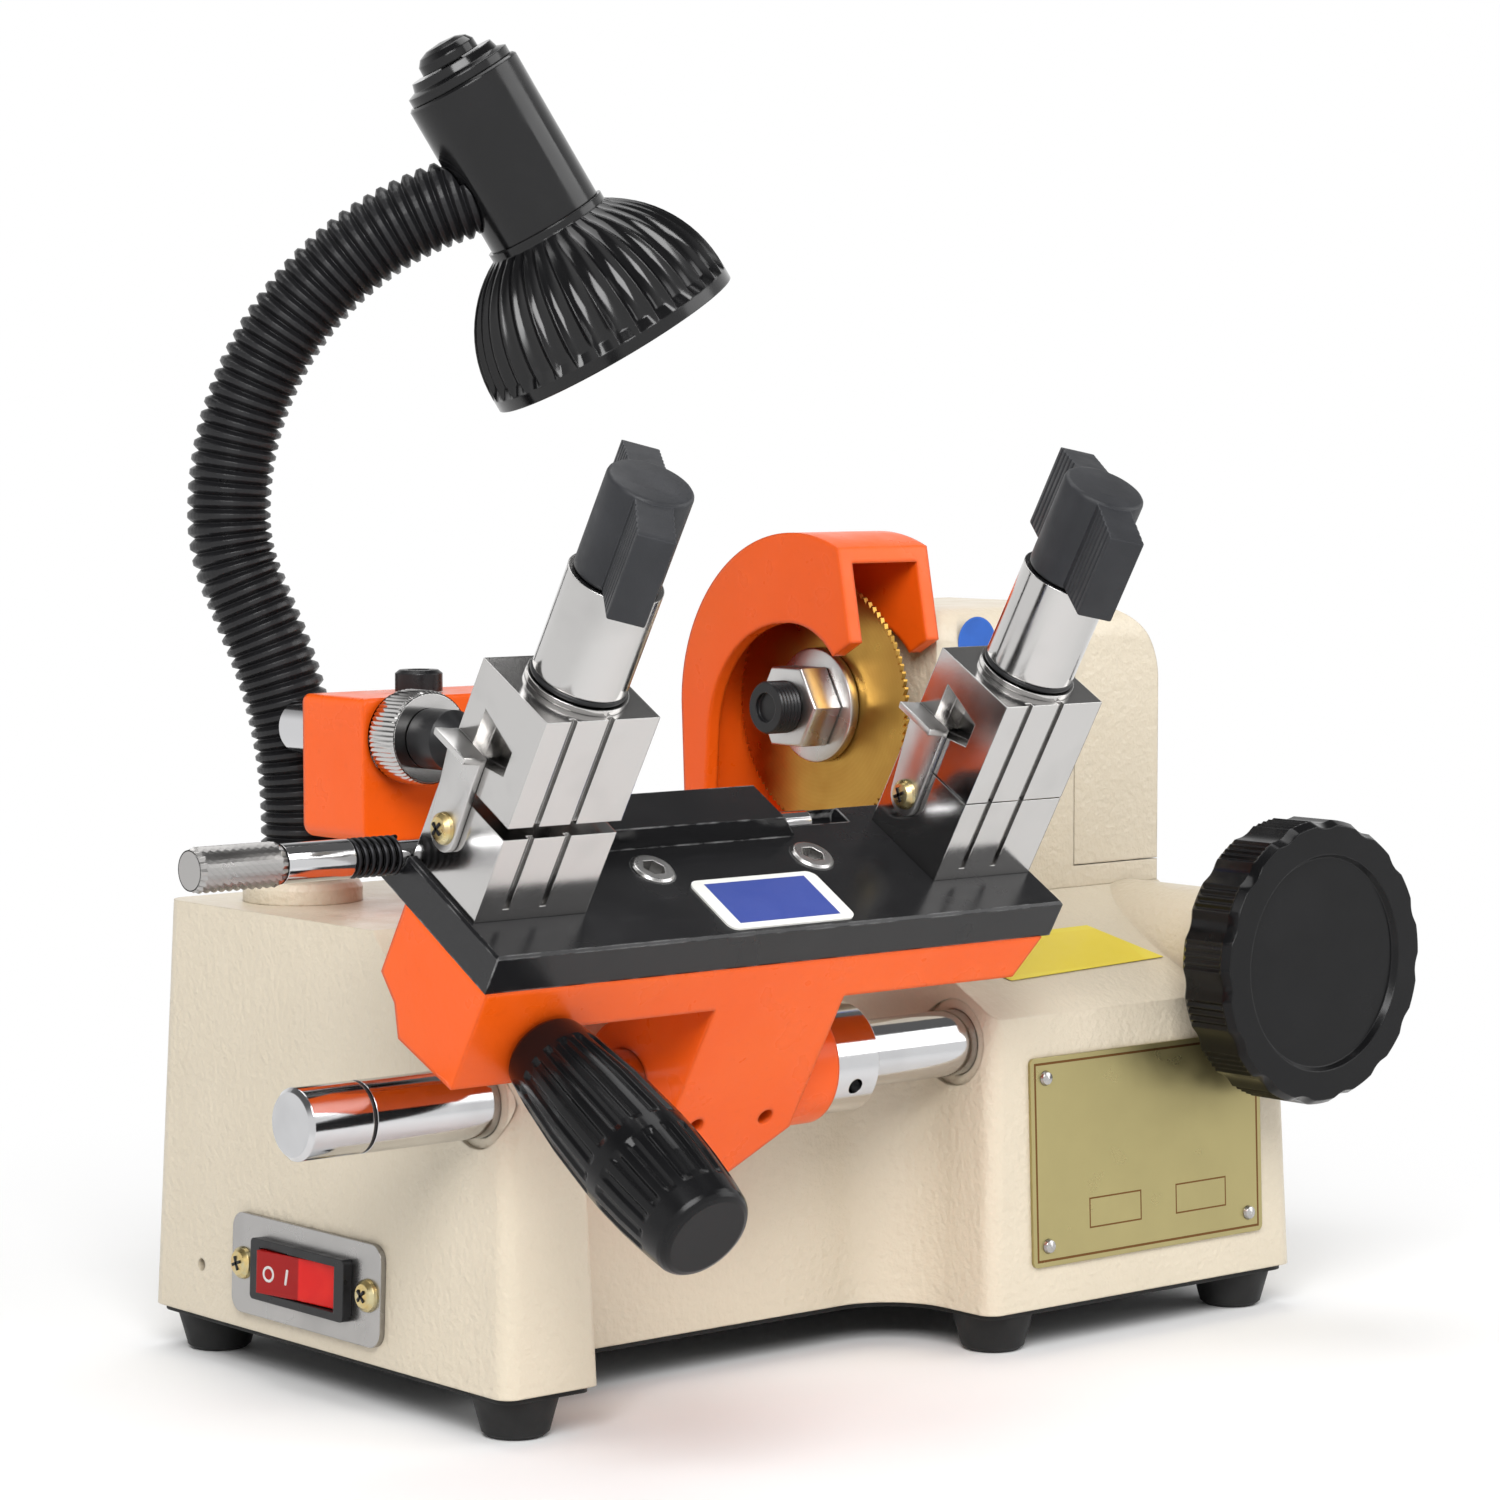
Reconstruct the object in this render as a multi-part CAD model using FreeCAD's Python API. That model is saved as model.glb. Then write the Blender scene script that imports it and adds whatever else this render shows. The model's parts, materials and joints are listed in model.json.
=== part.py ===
import FreeCAD, Part
import math
import os

V = FreeCAD.Vector

# Fits, in millimetres
RUN = 0.05
SEAT = 0.02
GAP = 0.3

# Base casting
BASE_L = 250.0
BASE_D = 145.0
FOOT_H = 9.2
FOOT_R_TOP = 10.0
FOOT_R_FLOOR = 7.5
BOTTOM_T = 1.4
BOTTOM_INSET = 1.5
DECK_Z = 109.5
DRAFT = 3.5
WALL = 7.0
LEFT_BLOCK_W = 27.0
MIDDLE_WALL_Y = 31.0
RIGHT_BLOCK_L = 107.0
RIGHT_BLOCK_X = BASE_L - RIGHT_BLOCK_L
RIGHT_FRONT_Y = -3.0
RIGHT_EDGE_Z = 80.0
SHELF_Z = 91.5
SHELF_RISE_Y = 55.0
CABLE_HOLE_R = 1.5
CABLE_HOLE_BACK = 23.2
CABLE_HOLE_Z = 22.9
BASE_Z = FOOT_H + BOTTOM_T

# Slide shaft and its ring rack
SHAFT_R = 8.0
SHAFT_Y = 13.0
SHAFT_Z = 75.3
SHAFT_LEFT = -47.0
SHAFT_GROOVE_X = -30.3
BUSH_R = 10.5
BUSH_L = 20.0
BUSH_RECESS = 3.0
COLLAR_R = 13.0
COLLAR_L = 14.0
RACK_MODULE = 1.25
RACK_COUNT = 13
RACK_AHEAD = 8
RACK_R = 7.0
TRAVEL_LEFT = 13.0
TRAVEL_RIGHT = 24.0

# Handwheel and pinion
PINION_TEETH = 14
PINION_R = RACK_MODULE * PINION_TEETH / 2.0
PINION_W = 12.0
WHEEL_INSET = 15.0
WHEEL_X = BASE_L - WHEEL_INSET
WHEEL_Z = SHAFT_Z + RACK_R + PINION_R
WHEEL_R = 35.5
WHEEL_T = 16.0
WHEEL_DISH_R = 27.0
WHEEL_DISH = 1.6
WHEEL_FRONT = -26.0
WHEEL_RIB_GROUPS = 7
WHEEL_RIBS = 5
WHEEL_SHAFT_R = 5.0
BOSS_R = 15.4
BOSS_FRONT = -6.0
CHAMBER_R = 11.0

# Spindle head and belt drive, set out from the base's right and back ends
HEAD_L = 48.3
HEAD_D = 68.0
HEAD_FRONT = 44.0
HEAD_BACK = HEAD_FRONT + HEAD_D
HEAD_TOP = 178.0
HEAD_SEAT_Z = 105.5
HEAD_FLANGE_T = 5.5
HEAD_ROUND = 9.0
COVER_L = 33.7
COVER_LEFT = BASE_L - COVER_L
COVER_WALL = 3.0
COVER_ROUND = 20.0
HEAD_LEFT = COVER_LEFT - HEAD_L
BEARING_R = 14.0
BEARING_W = 9.0
PULLEY_INSET = 7.7
PULLEY_X = COVER_LEFT + PULLEY_INSET
PULLEY_W = 12.0
SPINDLE_PULLEY_R = 15.0
MOTOR_PULLEY_R = 11.0
FLANGE_H = 2.5
BELT_W = 8.0
BELT_T = 2.0
BELT_ROOM = 3.0
MOTOR_BACK = 50.0
MOTOR_Y = BASE_D - MOTOR_BACK
MOTOR_Z = 58.0
MOTOR_R = 32.0
MOTOR_L = 88.0
MOTOR_STEP = 28.0
MOTOR_RIGHT = PULLEY_X - MOTOR_STEP
MOTOR_SHAFT_R = 5.0

# Spindle, cutter and hood
SPINDLE_Y = 69.0
SPINDLE_Z = 154.0
SPINDLE_R = 8.0
HOOD_W = 29.4
HOOD_CLEAR = 1.6
HOOD_LEFT = HEAD_LEFT - HOOD_CLEAR - HOOD_W
HOOD_WALL = 4.0
HOOD_FLOOR = 2.5
HOOD_R = 43.5
HOOD_Y = SPINDLE_Y - 6.0
CUTTER_INSET = 15.5
CUTTER_X = HOOD_LEFT + CUTTER_INSET
CUTTER_R = 31.5
CUTTER_T = 1.2
CUTTER_TEETH = 100
CUTTER_TOOTH = 0.9
WASHER_R = 13.0
WASHER_T = 3.0
STUB_R = 6.0
STUB_L = 18.0
STUB_LEFT = CUTTER_X - STUB_L
NUT_AF = 22.0
NUT_T = 9.0

# Carriage, in its own frame: the shaft axis is its zero
TILT = 30.5
PLATE_LEFT = -23.0
PLATE_RIGHT = 141.3
PLATE_FRONT = -17.0
PLATE_BACK = 26.5
PLATE_Z = 44.5
PLATE_T = 9.4
SLAB_Z = 33.4
SLAB_BACK = 16.0
SLAB_RIGHT = 138.5
CAST_FRONT = -17.4
HUB_LEFT = 44.0
HUB_RIGHT = 82.0
HUB_R = 14.5
HUB_END = 96.0
HUB_BOTTOM = -16.0
LUG_BACK = 10.0
RIB_LEFT = 12.0
RIB_RIGHT = 78.0
RIB_H = 5.6
HANDLE_X = -2.0
HANDLE_Z = 28.2
HANDLE_END = -82.0
HANDLE_R = 13.0
HANDLE_STUD_R = 4.0
HANDLE_FLUTES = 18
HANDLE_FLUTE_D = 0.7
GAUGE_Y = 23.4
GAUGE_Z = 52.2
GAUGE_R = 3.0
GAUGE_LEFT = -75.8
GAUGE_KNOB_R = 4.9
GAUGE_KNOB_L = 22.0
GAUGE_SLEEVE_R = 4.3
GAUGE_SLEEVE_L = 17.0
GAUGE_RIGHT = 92.0
SPRING_WIRE_R = 0.55
SPRING_TURNS = 7
SPRING_SIDES = 6

# Key clamps
JAW_W = 30.0
JAW_FRONT = -4.6
JAW_D = 25.0
LEFT_JAW_X = -21.5
RIGHT_JAW_X = 110.0
JAW_STEP_Z = 75.0
UPPER_JAW_H = 26.4
LEFT_GAP = 3.0
RIGHT_GAP = 0.3
GROOVE_W = 1.6
GROOVE_D = 1.2
STUD_R = 5.0
STUD_Y = 8.0
STUD_SIDE = 16.0
STUD_REACH = 20.0
SLEEVE_R = 10.5
SLEEVE_H = 24.0
RING_H = 3.0
KNOB_R = 11.0
KNOB_H = 38.0
WING_REACH = 17.0
WING_T = 10.5
LEFT_WING_TURN = -106.0
RIGHT_WING_TURN = -84.0

# Tracer
TRACER_X = 20.0
TRACER_Z = 152.5
TRACER_TIP = 40.0
TRACER_ROD_R = 6.5
TRACER_ROD_BACK = 107.0
STYLUS_R = 7.0
RING_R = 11.0
RING_FRONT = 54.0
RING_L = 10.0
BRACKET_LEFT = 9.0
BRACKET_RIGHT = 62.0
BRACKET_FRONT = 65.0
BRACKET_D = 24.5
BRACKET_BOTTOM = 128.0
BRACKET_TOP = 161.5
BRACKET_FOOT_W = 22.0
LOCK_X = 33.5
LOCK_DEPTH = 10.0

# Switch and plates
SWITCH_Y = 76.0
SWITCH_Z = 26.6
SWITCH_PLATE = (60.5, 23.7, 1.5)
BEZEL = (38.0, 14.4, 2.4)
ROCKER = (30.0, 10.0)
ROCKER_DEPTH = 5.0
ROCKER_TURN = 14.0
SWITCH_SCREW_STEP = 51.0
SWITCH_SCREW_R = 1.9
NAMEPLATE_INSET = 14.0
NAMEPLATE_W = 80.0
NAMEPLATE_LOW = 20.7
NAMEPLATE_H = 50.9
NAMEPLATE_T = 0.8
RIVET_INSET = 5.0

# Lamp, in an upright plane that crosses the machine
LAMP_X = 27.7
LAMP_BACK = 27.4
LAMP_Y = BASE_D - LAMP_BACK
LAMP_TURN = -40.14
NECK_R = 10.0
NECK_VALLEY = 8.7
NECK_BORE = 6.5
NECK_RIBS = 56
NECK_FOOT_H = 6.0
NECK_RISE = 12.3
NECK_LEAN = 22.0
NECK_LOW_R = 123.5
NECK_LEAN_RUN = 13.4
NECK_MID_R = 42.0
NECK_TOP_R = 79.3
NECK_TOP_TURN = 72.0
NECK_END_RUN = 5.6
NECK_SINK = 4.0
SOCKET_R = 14.5
SOCKET_UP = 27.0
SOCKET_DOWN = 12.0
HEAD_LEAN = 30.0
HEAD_AWAY = 9.0
SHADE_L = 33.5
SHADE_R = 32.2
SHADE_WALL = 1.2
SHADE_STEP = 0.9
SHADE_COLLAR = 2.0
SHADE_RIM = 3.0
SHADE_LEVELS = 7
SHADE_FLUTES = 36
SHADE_GROOVE = 0.9
BULB_R = 9.0
BULB_BASE_R = 6.5
BULB_BASE_L = 14.0


def box(x0, x1, y0, y1, z0, z1):
    return Part.makeBox(x1 - x0, y1 - y0, z1 - z0, V(x0, y0, z0))


def rod(start, axis, radius, length):
    return Part.makeCylinder(radius, length, V(*start), V(*axis))


def tube(start, axis, outer, inner, length):
    return rod(start, axis, outer, length).cut(rod(start, axis, inner, length))


def corner_edges(points, radii):
    """Edges of a closed outline whose corners are rounded by the given radii."""
    ends = []
    count = len(points)
    for i in range(count):
        here = points[i]
        before = (points[i - 1] - here).normalize()
        after = (points[(i + 1) % count] - here).normalize()
        if radii[i] == 0:
            ends.append((here, None, here))
            continue
        half = before.getAngle(after) / 2.0
        reach = radii[i] / math.tan(half)
        middle = (before + after).normalize()
        top = here + middle * (radii[i] / math.sin(half) - radii[i])
        ends.append((here + before * reach, top, here + after * reach))
    edges = []
    for i in range(count):
        start, top, end = ends[i]
        if top is not None:
            edges.append(Part.Arc(start, top, end).toShape())
        following = ends[(i + 1) % count][0]
        if end.distanceToPoint(following) > 1e-6:
            edges.append(Part.LineSegment(end, following).toShape())
    return edges


def outline(points, axis, level, radii=0):
    """A closed wire square to an axis: points are (y, z), (x, z) or (x, y)."""
    if not isinstance(radii, (list, tuple)):
        radii = [radii] * len(points)
    make = {"X": lambda a, b: V(level, a, b),
            "Y": lambda a, b: V(a, level, b),
            "Z": lambda a, b: V(a, b, level)}[axis]
    return Part.Wire(corner_edges([make(a, b) for a, b in points], radii))


def prism(points, axis, start, length, radii=0):
    direction = {"X": V(1, 0, 0), "Y": V(0, 1, 0), "Z": V(0, 0, 1)}[axis]
    return Part.Face(outline(points, axis, start, radii)).extrude(direction * length)


def rectangle(a0, a1, b0, b1):
    return [(a0, b0), (a1, b0), (a1, b1), (a0, b1)]


def turned(profile, start, axis, radii=0):
    """A solid of revolution: profile points are (radius, height) along the axis."""
    face = Part.Face(outline(profile, "Y", 0.0, radii))
    solid = face.revolve(V(0, 0, 0), V(0, 0, 1), 360)
    solid.Placement = FreeCAD.Placement(V(*start), FreeCAD.Rotation(V(0, 0, 1), V(*axis)))
    return solid


def round_pattern(shape, centre, axis, count, turn=360.0):
    copies = []
    for i in range(count):
        copy = shape.copy()
        copy.rotate(V(*centre), V(*axis), turn * i / count)
        copies.append(copy)
    return copies


def fluted_ring(radius, z, count, depth, shares):
    """A closed outline round Z with a number of grooves, each set out by shares of its step."""
    step = 2 * math.pi / count
    points = []
    for i in range(count):
        for share, low in shares:
            reach = radius - depth * low
            points.append(V(reach * math.cos(step * (i + share)), reach * math.sin(step * (i + share)), z))
    return Part.makePolygon(points + points[:1])


def hexagon(start, axis, across, length):
    radius = across / math.sqrt(3.0)
    points = [V(radius * math.cos(math.radians(60 * i)), radius * math.sin(math.radians(60 * i)), 0)
              for i in range(6)]
    solid = Part.Face(Part.makePolygon(points + points[:1])).extrude(V(0, 0, length))
    solid.Placement = FreeCAD.Placement(V(*start), FreeCAD.Rotation(V(0, 0, 1), V(*axis)))
    return solid


def on_carriage(shape):
    """Carry a shape from the carriage's frame to the leaning carriage."""
    shape.rotate(V(0, 0, 0), V(1, 0, 0), TILT)
    shape.translate(V(0, SHAFT_Y, SHAFT_Z))
    return shape


# Base

def base_plan(inset):
    d = inset
    points = [(d, d), (LEFT_BLOCK_W - d, d), (LEFT_BLOCK_W - d, MIDDLE_WALL_Y + d),
              (RIGHT_BLOCK_X + d, MIDDLE_WALL_Y + d), (RIGHT_BLOCK_X + d, RIGHT_FRONT_Y + d),
              (BASE_L - d, RIGHT_FRONT_Y + d), (BASE_L - d, BASE_D - d), (d, BASE_D - d)]
    return points, [4, 3, 6, 18, 4, 5, 8, 6]


def base_casting():
    low = outline(*_at(base_plan(0), BASE_Z))
    high = outline(*_at(base_plan(DRAFT), DECK_Z))
    body = Part.makeLoft([low, high], True, True)
    # Step for the carriage above the left block and the middle wall
    split = RIGHT_BLOCK_X + 1.0
    over = DECK_Z + 10
    step = [(-20, over), (-20, SHAFT_Z + 2), (0, SHAFT_Z + 2), (2, SHELF_Z), (MIDDLE_WALL_Y, SHELF_Z),
            (SHELF_RISE_Y - 9, SHELF_Z + 10.5), (SHELF_RISE_Y, DECK_Z), (SHELF_RISE_Y, over)]
    body = body.cut(prism(step, "X", -5, split + 5, [0, 0, 0, 9, 6, 8, 8, 0]))
    slope = [(-20, over), (-20, RIGHT_EDGE_Z), (RIGHT_FRONT_Y, RIGHT_EDGE_Z), (4, RIGHT_EDGE_Z + 5),
             (HEAD_FRONT, HEAD_SEAT_Z), (HEAD_FRONT, over)]
    body = body.cut(prism(slope, "X", split, BASE_L, [0, 0, 0, 8, 0, 0]))
    # Boss that carries the handwheel
    body = body.fuse(rod((WHEEL_X, BOSS_FRONT, WHEEL_Z), (0, 1, 0), BOSS_R, HEAD_FRONT - BOSS_FRONT))
    # Seat of the spindle head
    body = body.cut(box(HEAD_LEFT - GAP, BASE_L + 5, HEAD_FRONT, HEAD_BACK + GAP, HEAD_SEAT_Z, over))
    # Hollow inside, open at the bottom
    inner_y = MIDDLE_WALL_Y + WALL + 2
    roof = HEAD_SEAT_Z - 5.5
    hall = [(inner_y, BASE_Z - 1), (inner_y, SHELF_Z - 6), (inner_y + 16, roof), (BASE_D - WALL - 4, roof),
            (BASE_D - WALL, BASE_Z - 1)]
    body = body.cut(prism(hall, "X", WALL, BASE_L - 2 * WALL))
    body = body.cut(box(RIGHT_BLOCK_X + WALL + 2, BASE_L - WALL, 4, inner_y + 1, BASE_Z - 1, SHAFT_Z - 17))
    body = body.cut(box(WALL, LEFT_BLOCK_W - WALL, 6, inner_y + 1, BASE_Z - 1, SHAFT_Z - 17))
    # Shaft bores with a seat for each bush
    line = (SHAFT_Y, SHAFT_Z)
    bore = SHAFT_R + 0.4
    body = body.cut(rod((-10, *line), (1, 0, 0), bore, BASE_L + 20))
    seat = BUSH_R + SEAT
    body = body.cut(rod((-10, *line), (1, 0, 0), seat, 10 + BUSH_RECESS + BUSH_L))
    body = body.cut(rod((RIGHT_BLOCK_X - 5, *line), (1, 0, 0), seat, 5 + BUSH_RECESS + BUSH_L))
    # Pinion chamber and the handwheel shaft's rear bore
    body = body.cut(rod((WHEEL_X, BOSS_FRONT - 1, WHEEL_Z), (0, 1, 0), CHAMBER_R + SEAT,
                        SHAFT_Y + PINION_W / 2 + 1 - BOSS_FRONT + 1))
    body = body.cut(rod((WHEEL_X, 0, WHEEL_Z), (0, 1, 0), WHEEL_SHAFT_R + RUN, HEAD_FRONT - 6))
    # Belt slot, switch window and cable hole
    body = body.cut(box(PULLEY_X - BELT_ROOM, PULLEY_X + PULLEY_W + BELT_ROOM, HEAD_FRONT + 4, HEAD_BACK - 4, roof - 1, over))
    body = body.cut(switch_window(-5, WALL + 6))
    body = body.cut(rod((-5, BASE_D - CABLE_HOLE_BACK, CABLE_HOLE_Z), (1, 0, 0), CABLE_HOLE_R, WALL + 8))
    return body


def _at(plan, level):
    points, radii = plan
    return points, "Z", level, radii


def bottom_plate():
    plate = Part.Face(outline(*_at(base_plan(BOTTOM_INSET), FOOT_H))).extrude(V(0, 0, BOTTOM_T))
    for x, y in foot_places():
        plate = plate.cut(rod((x, y, FOOT_H - 1), (0, 0, 1), 2.5, BOTTOM_T + 2))
    return plate


def foot_places():
    back = BASE_D - 13.0
    return [(11.5, 11.5), (RIGHT_BLOCK_X + 12.0, 9.0), (BASE_L - 11.5, 9.0), (12.0, back), (BASE_L - 14.0, back)]


def feet():
    profile = [(0, 0), (FOOT_R_FLOOR - 0.9, 0), (FOOT_R_FLOOR + 0.2, 0.9), (FOOT_R_TOP, FOOT_H), (0, FOOT_H)]
    return Part.makeCompound([turned(profile, (x, y, 0), (0, 0, 1)) for x, y in foot_places()])


def shaft_bushes():
    line = (SHAFT_Y, SHAFT_Z)
    starts = (BUSH_RECESS, RIGHT_BLOCK_X + BUSH_RECESS)
    return Part.makeCompound([tube((x, *line), (1, 0, 0), BUSH_R, SHAFT_R + RUN, BUSH_L) for x in starts])


def nameplate():
    x0, z0 = RIGHT_BLOCK_X + NAMEPLATE_INSET, NAMEPLATE_LOW
    x1, z1 = x0 + NAMEPLATE_W, z0 + NAMEPLATE_H
    lean = math.degrees(math.atan(DRAFT / (DECK_Z - BASE_Z)))
    plate = prism(rectangle(x0, x1, z0, z1), "Y", -NAMEPLATE_T, NAMEPLATE_T, 1.5)
    rivets = []
    for x in (x0 + RIVET_INSET, x1 - RIVET_INSET):
        for z in (z0 + RIVET_INSET, z1 - RIVET_INSET):
            dome = [(0, 0), (1.9, 0), (1.5, 0.9), (0, 1.3)]
            rivets.append(turned(dome, (x, -NAMEPLATE_T - SEAT, z), (0, -1, 0)))
    pieces = [plate, Part.makeCompound(rivets)]
    for piece in pieces:
        piece.rotate(V(0, 0, BASE_Z), V(1, 0, 0), -lean)
        piece.translate(V(0, RIGHT_FRONT_Y - SEAT, 0))
    return pieces


# Switch

def switch_lean(piece):
    lean = math.degrees(math.atan(DRAFT / (DECK_Z - BASE_Z)))
    piece.rotate(V(0, 0, BASE_Z), V(0, 1, 0), lean)
    return piece


def switch_window(x0, x1):
    w, h = BEZEL[0] / 2 - 2.0, BEZEL[1] / 2 - 1.2
    return switch_lean(box(x0, x1, SWITCH_Y - w, SWITCH_Y + w, SWITCH_Z - h, SWITCH_Z + h))


def switch_plate():
    w, h, t = SWITCH_PLATE
    plate = prism(rectangle(SWITCH_Y - w / 2, SWITCH_Y + w / 2, SWITCH_Z - h / 2, SWITCH_Z + h / 2), "X",
                  -t - SEAT, t, 4.0)
    for y in switch_screw_places():
        plate = plate.cut(rod((-t - 5, y, SWITCH_Z), (1, 0, 0), SWITCH_SCREW_R + SEAT, t + 10))
    return switch_lean(plate).cut(switch_window(-t - 5, 5))


def switch_screw_places():
    return (SWITCH_Y - SWITCH_SCREW_STEP / 2, SWITCH_Y + SWITCH_SCREW_STEP / 2)


def switch_bezel():
    w, h, t = BEZEL
    face = -SWITCH_PLATE[2] - 2 * SEAT
    frame = prism(rectangle(SWITCH_Y - w / 2, SWITCH_Y + w / 2, SWITCH_Z - h / 2, SWITCH_Z + h / 2), "X",
                  face - t, t, 1.2)
    inner_w, inner_h = w / 2 - 2.1, h / 2 - 1.3
    can = box(face - 0.1, WALL + 16, SWITCH_Y - inner_w, SWITCH_Y + inner_w, SWITCH_Z - inner_h, SWITCH_Z + inner_h)
    body = frame.fuse(can)
    opening_w, opening_h = ROCKER[0] / 2 + GAP, ROCKER[1] / 2 + GAP
    body = body.cut(box(face - t - 1, 14, SWITCH_Y - opening_w, SWITCH_Y + opening_w,
                        SWITCH_Z - opening_h, SWITCH_Z + opening_h))
    return switch_lean(body)


def switch_rocker():
    # The rocker turns about an upright axis in the wall's face, so its ends are round about that axis
    w, h = ROCKER[0] / 2, ROCKER[1] / 2
    face = -SWITCH_PLATE[2] - BEZEL[2]
    dip = w * math.tan(math.radians(ROCKER_TURN / 2))
    points = [(-w, ROCKER_DEPTH), (-w, face - dip), (0.0, face + 0.6), (w, face + dip), (w, ROCKER_DEPTH)]
    wire = Part.Wire(corner_edges([V(x, SWITCH_Y - a, 0) for a, x in points], [0, 1.0, 8, 1.0, 0]))
    body = Part.Face(wire).extrude(V(0, 0, 2 * h))
    body = body.common(rod((0, SWITCH_Y, 0), (0, 0, 1), w, 2 * h))
    body.translate(V(0, 0, SWITCH_Z - h))
    return switch_lean(body)


def pan_screw(start, axis, head_r, head_h, shank_r, length):
    dome = [(0, 0), (head_r, 0), (head_r * 0.94, head_h * 0.4), (head_r * 0.7, head_h * 0.8), (0, head_h)]
    head = turned(dome, start, axis)
    back = V(*axis) * -length
    shank = rod((start[0] + back.x, start[1] + back.y, start[2] + back.z), axis, shank_r, length + 0.2)
    return head.fuse(shank)


def switch_screws():
    screws = []
    for y in switch_screw_places():
        start = (-SWITCH_PLATE[2] - 2 * SEAT, y, SWITCH_Z)
        screws.append(switch_lean(pan_screw(start, (-1, 0, 0), 3.9, 2.2, SWITCH_SCREW_R, SWITCH_PLATE[2])))
    return Part.makeCompound(screws)


# Slide shaft and handwheel

def rack_pitch():
    return math.pi * RACK_MODULE


def slide_shaft():
    right = WHEEL_X + TRAVEL_LEFT + rack_pitch()
    shaft = rod((SHAFT_LEFT, 0, 0), (1, 0, 0), SHAFT_R, right - SHAFT_LEFT)
    shaft = shaft.makeChamfer(1.0, [e for e in shaft.Edges if e.BoundBox.XLength < 0.1])
    snap = [(SHAFT_R + 1, -0.5), (SHAFT_R + 1, 0.5), (SHAFT_R - 0.7, 0.5), (SHAFT_R - 0.7, -0.5)]
    shaft = shaft.cut(turned(snap, (SHAFT_GROOVE_X, 0, 0), (1, 0, 0)))
    pitch = rack_pitch()
    bottom = RACK_R - 1.15 * RACK_MODULE
    top = SHAFT_R + 0.5
    middle = WHEEL_X
    for i in range(RACK_COUNT):
        x = middle + (i - RACK_AHEAD) * pitch
        groove = [(top, -0.40 * pitch), (top, 0.40 * pitch), (bottom, 0.17 * pitch), (bottom, -0.17 * pitch)]
        shaft = shaft.cut(turned(groove, (x, 0, 0), (1, 0, 0)))
    shaft.translate(V(0, SHAFT_Y, SHAFT_Z))
    return shaft


def collar_start():
    return HUB_END + GAP


def stop_collar():
    x = collar_start()
    collar = tube((x, 0, 0), (1, 0, 0), COLLAR_R, SHAFT_R + SEAT, COLLAR_L)
    rims = [e for e in collar.Edges if abs(e.Length - 2 * math.pi * COLLAR_R) < 0.1]
    collar = collar.makeChamfer(0.6, rims)
    collar = collar.cut(rod((x + COLLAR_L / 2, 0, 0), (0, -1, 0), 2.0, COLLAR_R + 1))
    collar.rotate(V(0, 0, 0), V(1, 0, 0), 24)
    collar.translate(V(0, SHAFT_Y, SHAFT_Z))
    return collar


def pinion_shaft():
    start = WHEEL_FRONT + 5.0
    shaft = rod((WHEEL_X, start, WHEEL_Z), (0, 1, 0), WHEEL_SHAFT_R, HEAD_FRONT - 7 - start)
    root = PINION_R - 1.1 * RACK_MODULE
    tip = PINION_R + 0.85 * RACK_MODULE
    back = SHAFT_Y - PINION_W / 2
    gear = rod((WHEEL_X, back, WHEEL_Z), (0, 1, 0), root, PINION_W)
    half_root, half_tip = 0.22 * rack_pitch(), 0.09 * rack_pitch()
    tooth = prism([(-half_root, -root + 0.3), (half_root, -root + 0.3), (half_tip, -tip), (-half_tip, -tip)],
                  "Y", back, PINION_W)
    tooth.translate(V(WHEEL_X, 0, WHEEL_Z))
    return shaft.multiFuse([gear] + round_pattern(tooth, (WHEEL_X, 0, WHEEL_Z), (0, 1, 0), PINION_TEETH))


def wheel_bush():
    length = SHAFT_Y - PINION_W / 2 - 1.0 - BOSS_FRONT
    return tube((WHEEL_X, BOSS_FRONT, WHEEL_Z), (0, 1, 0), CHAMBER_R, WHEEL_SHAFT_R + RUN, length)


def handwheel():
    front, t, r = WHEEL_FRONT, WHEEL_T, WHEEL_R
    dish = WHEEL_DISH_R
    profile = [(0, 0), (r - 1.5, 0), (r, 1.5), (r, t - 2.6), (r - 0.8, t - 0.8), (r - 2.6, t), (dish, t),
               (dish - 1, t - WHEEL_DISH), (0, t - WHEEL_DISH)]
    wheel = turned(profile, (WHEEL_X, front + t, WHEEL_Z), (0, -1, 0))
    wheel = wheel.cut(rod((WHEEL_X, front + 5.0 - SEAT, WHEEL_Z), (0, 1, 0), WHEEL_SHAFT_R + SEAT, t))
    cuts = []
    for group in range(WHEEL_RIB_GROUPS):
        for i in range(WHEEL_RIBS):
            angle = 360.0 / WHEEL_RIB_GROUPS * (group + (i - WHEEL_RIBS / 2 + 0.5) / 7.5)
            slot = box(WHEEL_X - 0.8, WHEEL_X + 0.8, front + 2.5, front + t + 1, WHEEL_Z + r - 1.2, WHEEL_Z + r + 2)
            slot.rotate(V(WHEEL_X, 0, WHEEL_Z), V(0, 1, 0), angle)
            cuts.append(slot)
    return wheel.cut(Part.makeCompound(cuts))


# Spindle head, cutter and drive

def spindle_at(x):
    return (x, SPINDLE_Y, SPINDLE_Z)


def cutter_back():
    return CUTTER_X + CUTTER_T / 2


def spindle():
    right = PULLEY_X + PULLEY_W + 3
    body = rod(spindle_at(STUB_LEFT), (1, 0, 0), STUB_R, CUTTER_X - STUB_LEFT + 10)
    body = body.fuse(rod(spindle_at(cutter_back() + SEAT), (1, 0, 0), WASHER_R, 5))
    body = body.fuse(rod(spindle_at(cutter_back() + 4), (1, 0, 0), SPINDLE_R, right - cutter_back() - 4))
    return body.cut(turned([(0, -1), (2.2, -1), (0.6, 3), (0, 3)], spindle_at(STUB_LEFT), (1, 0, 0)))


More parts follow.
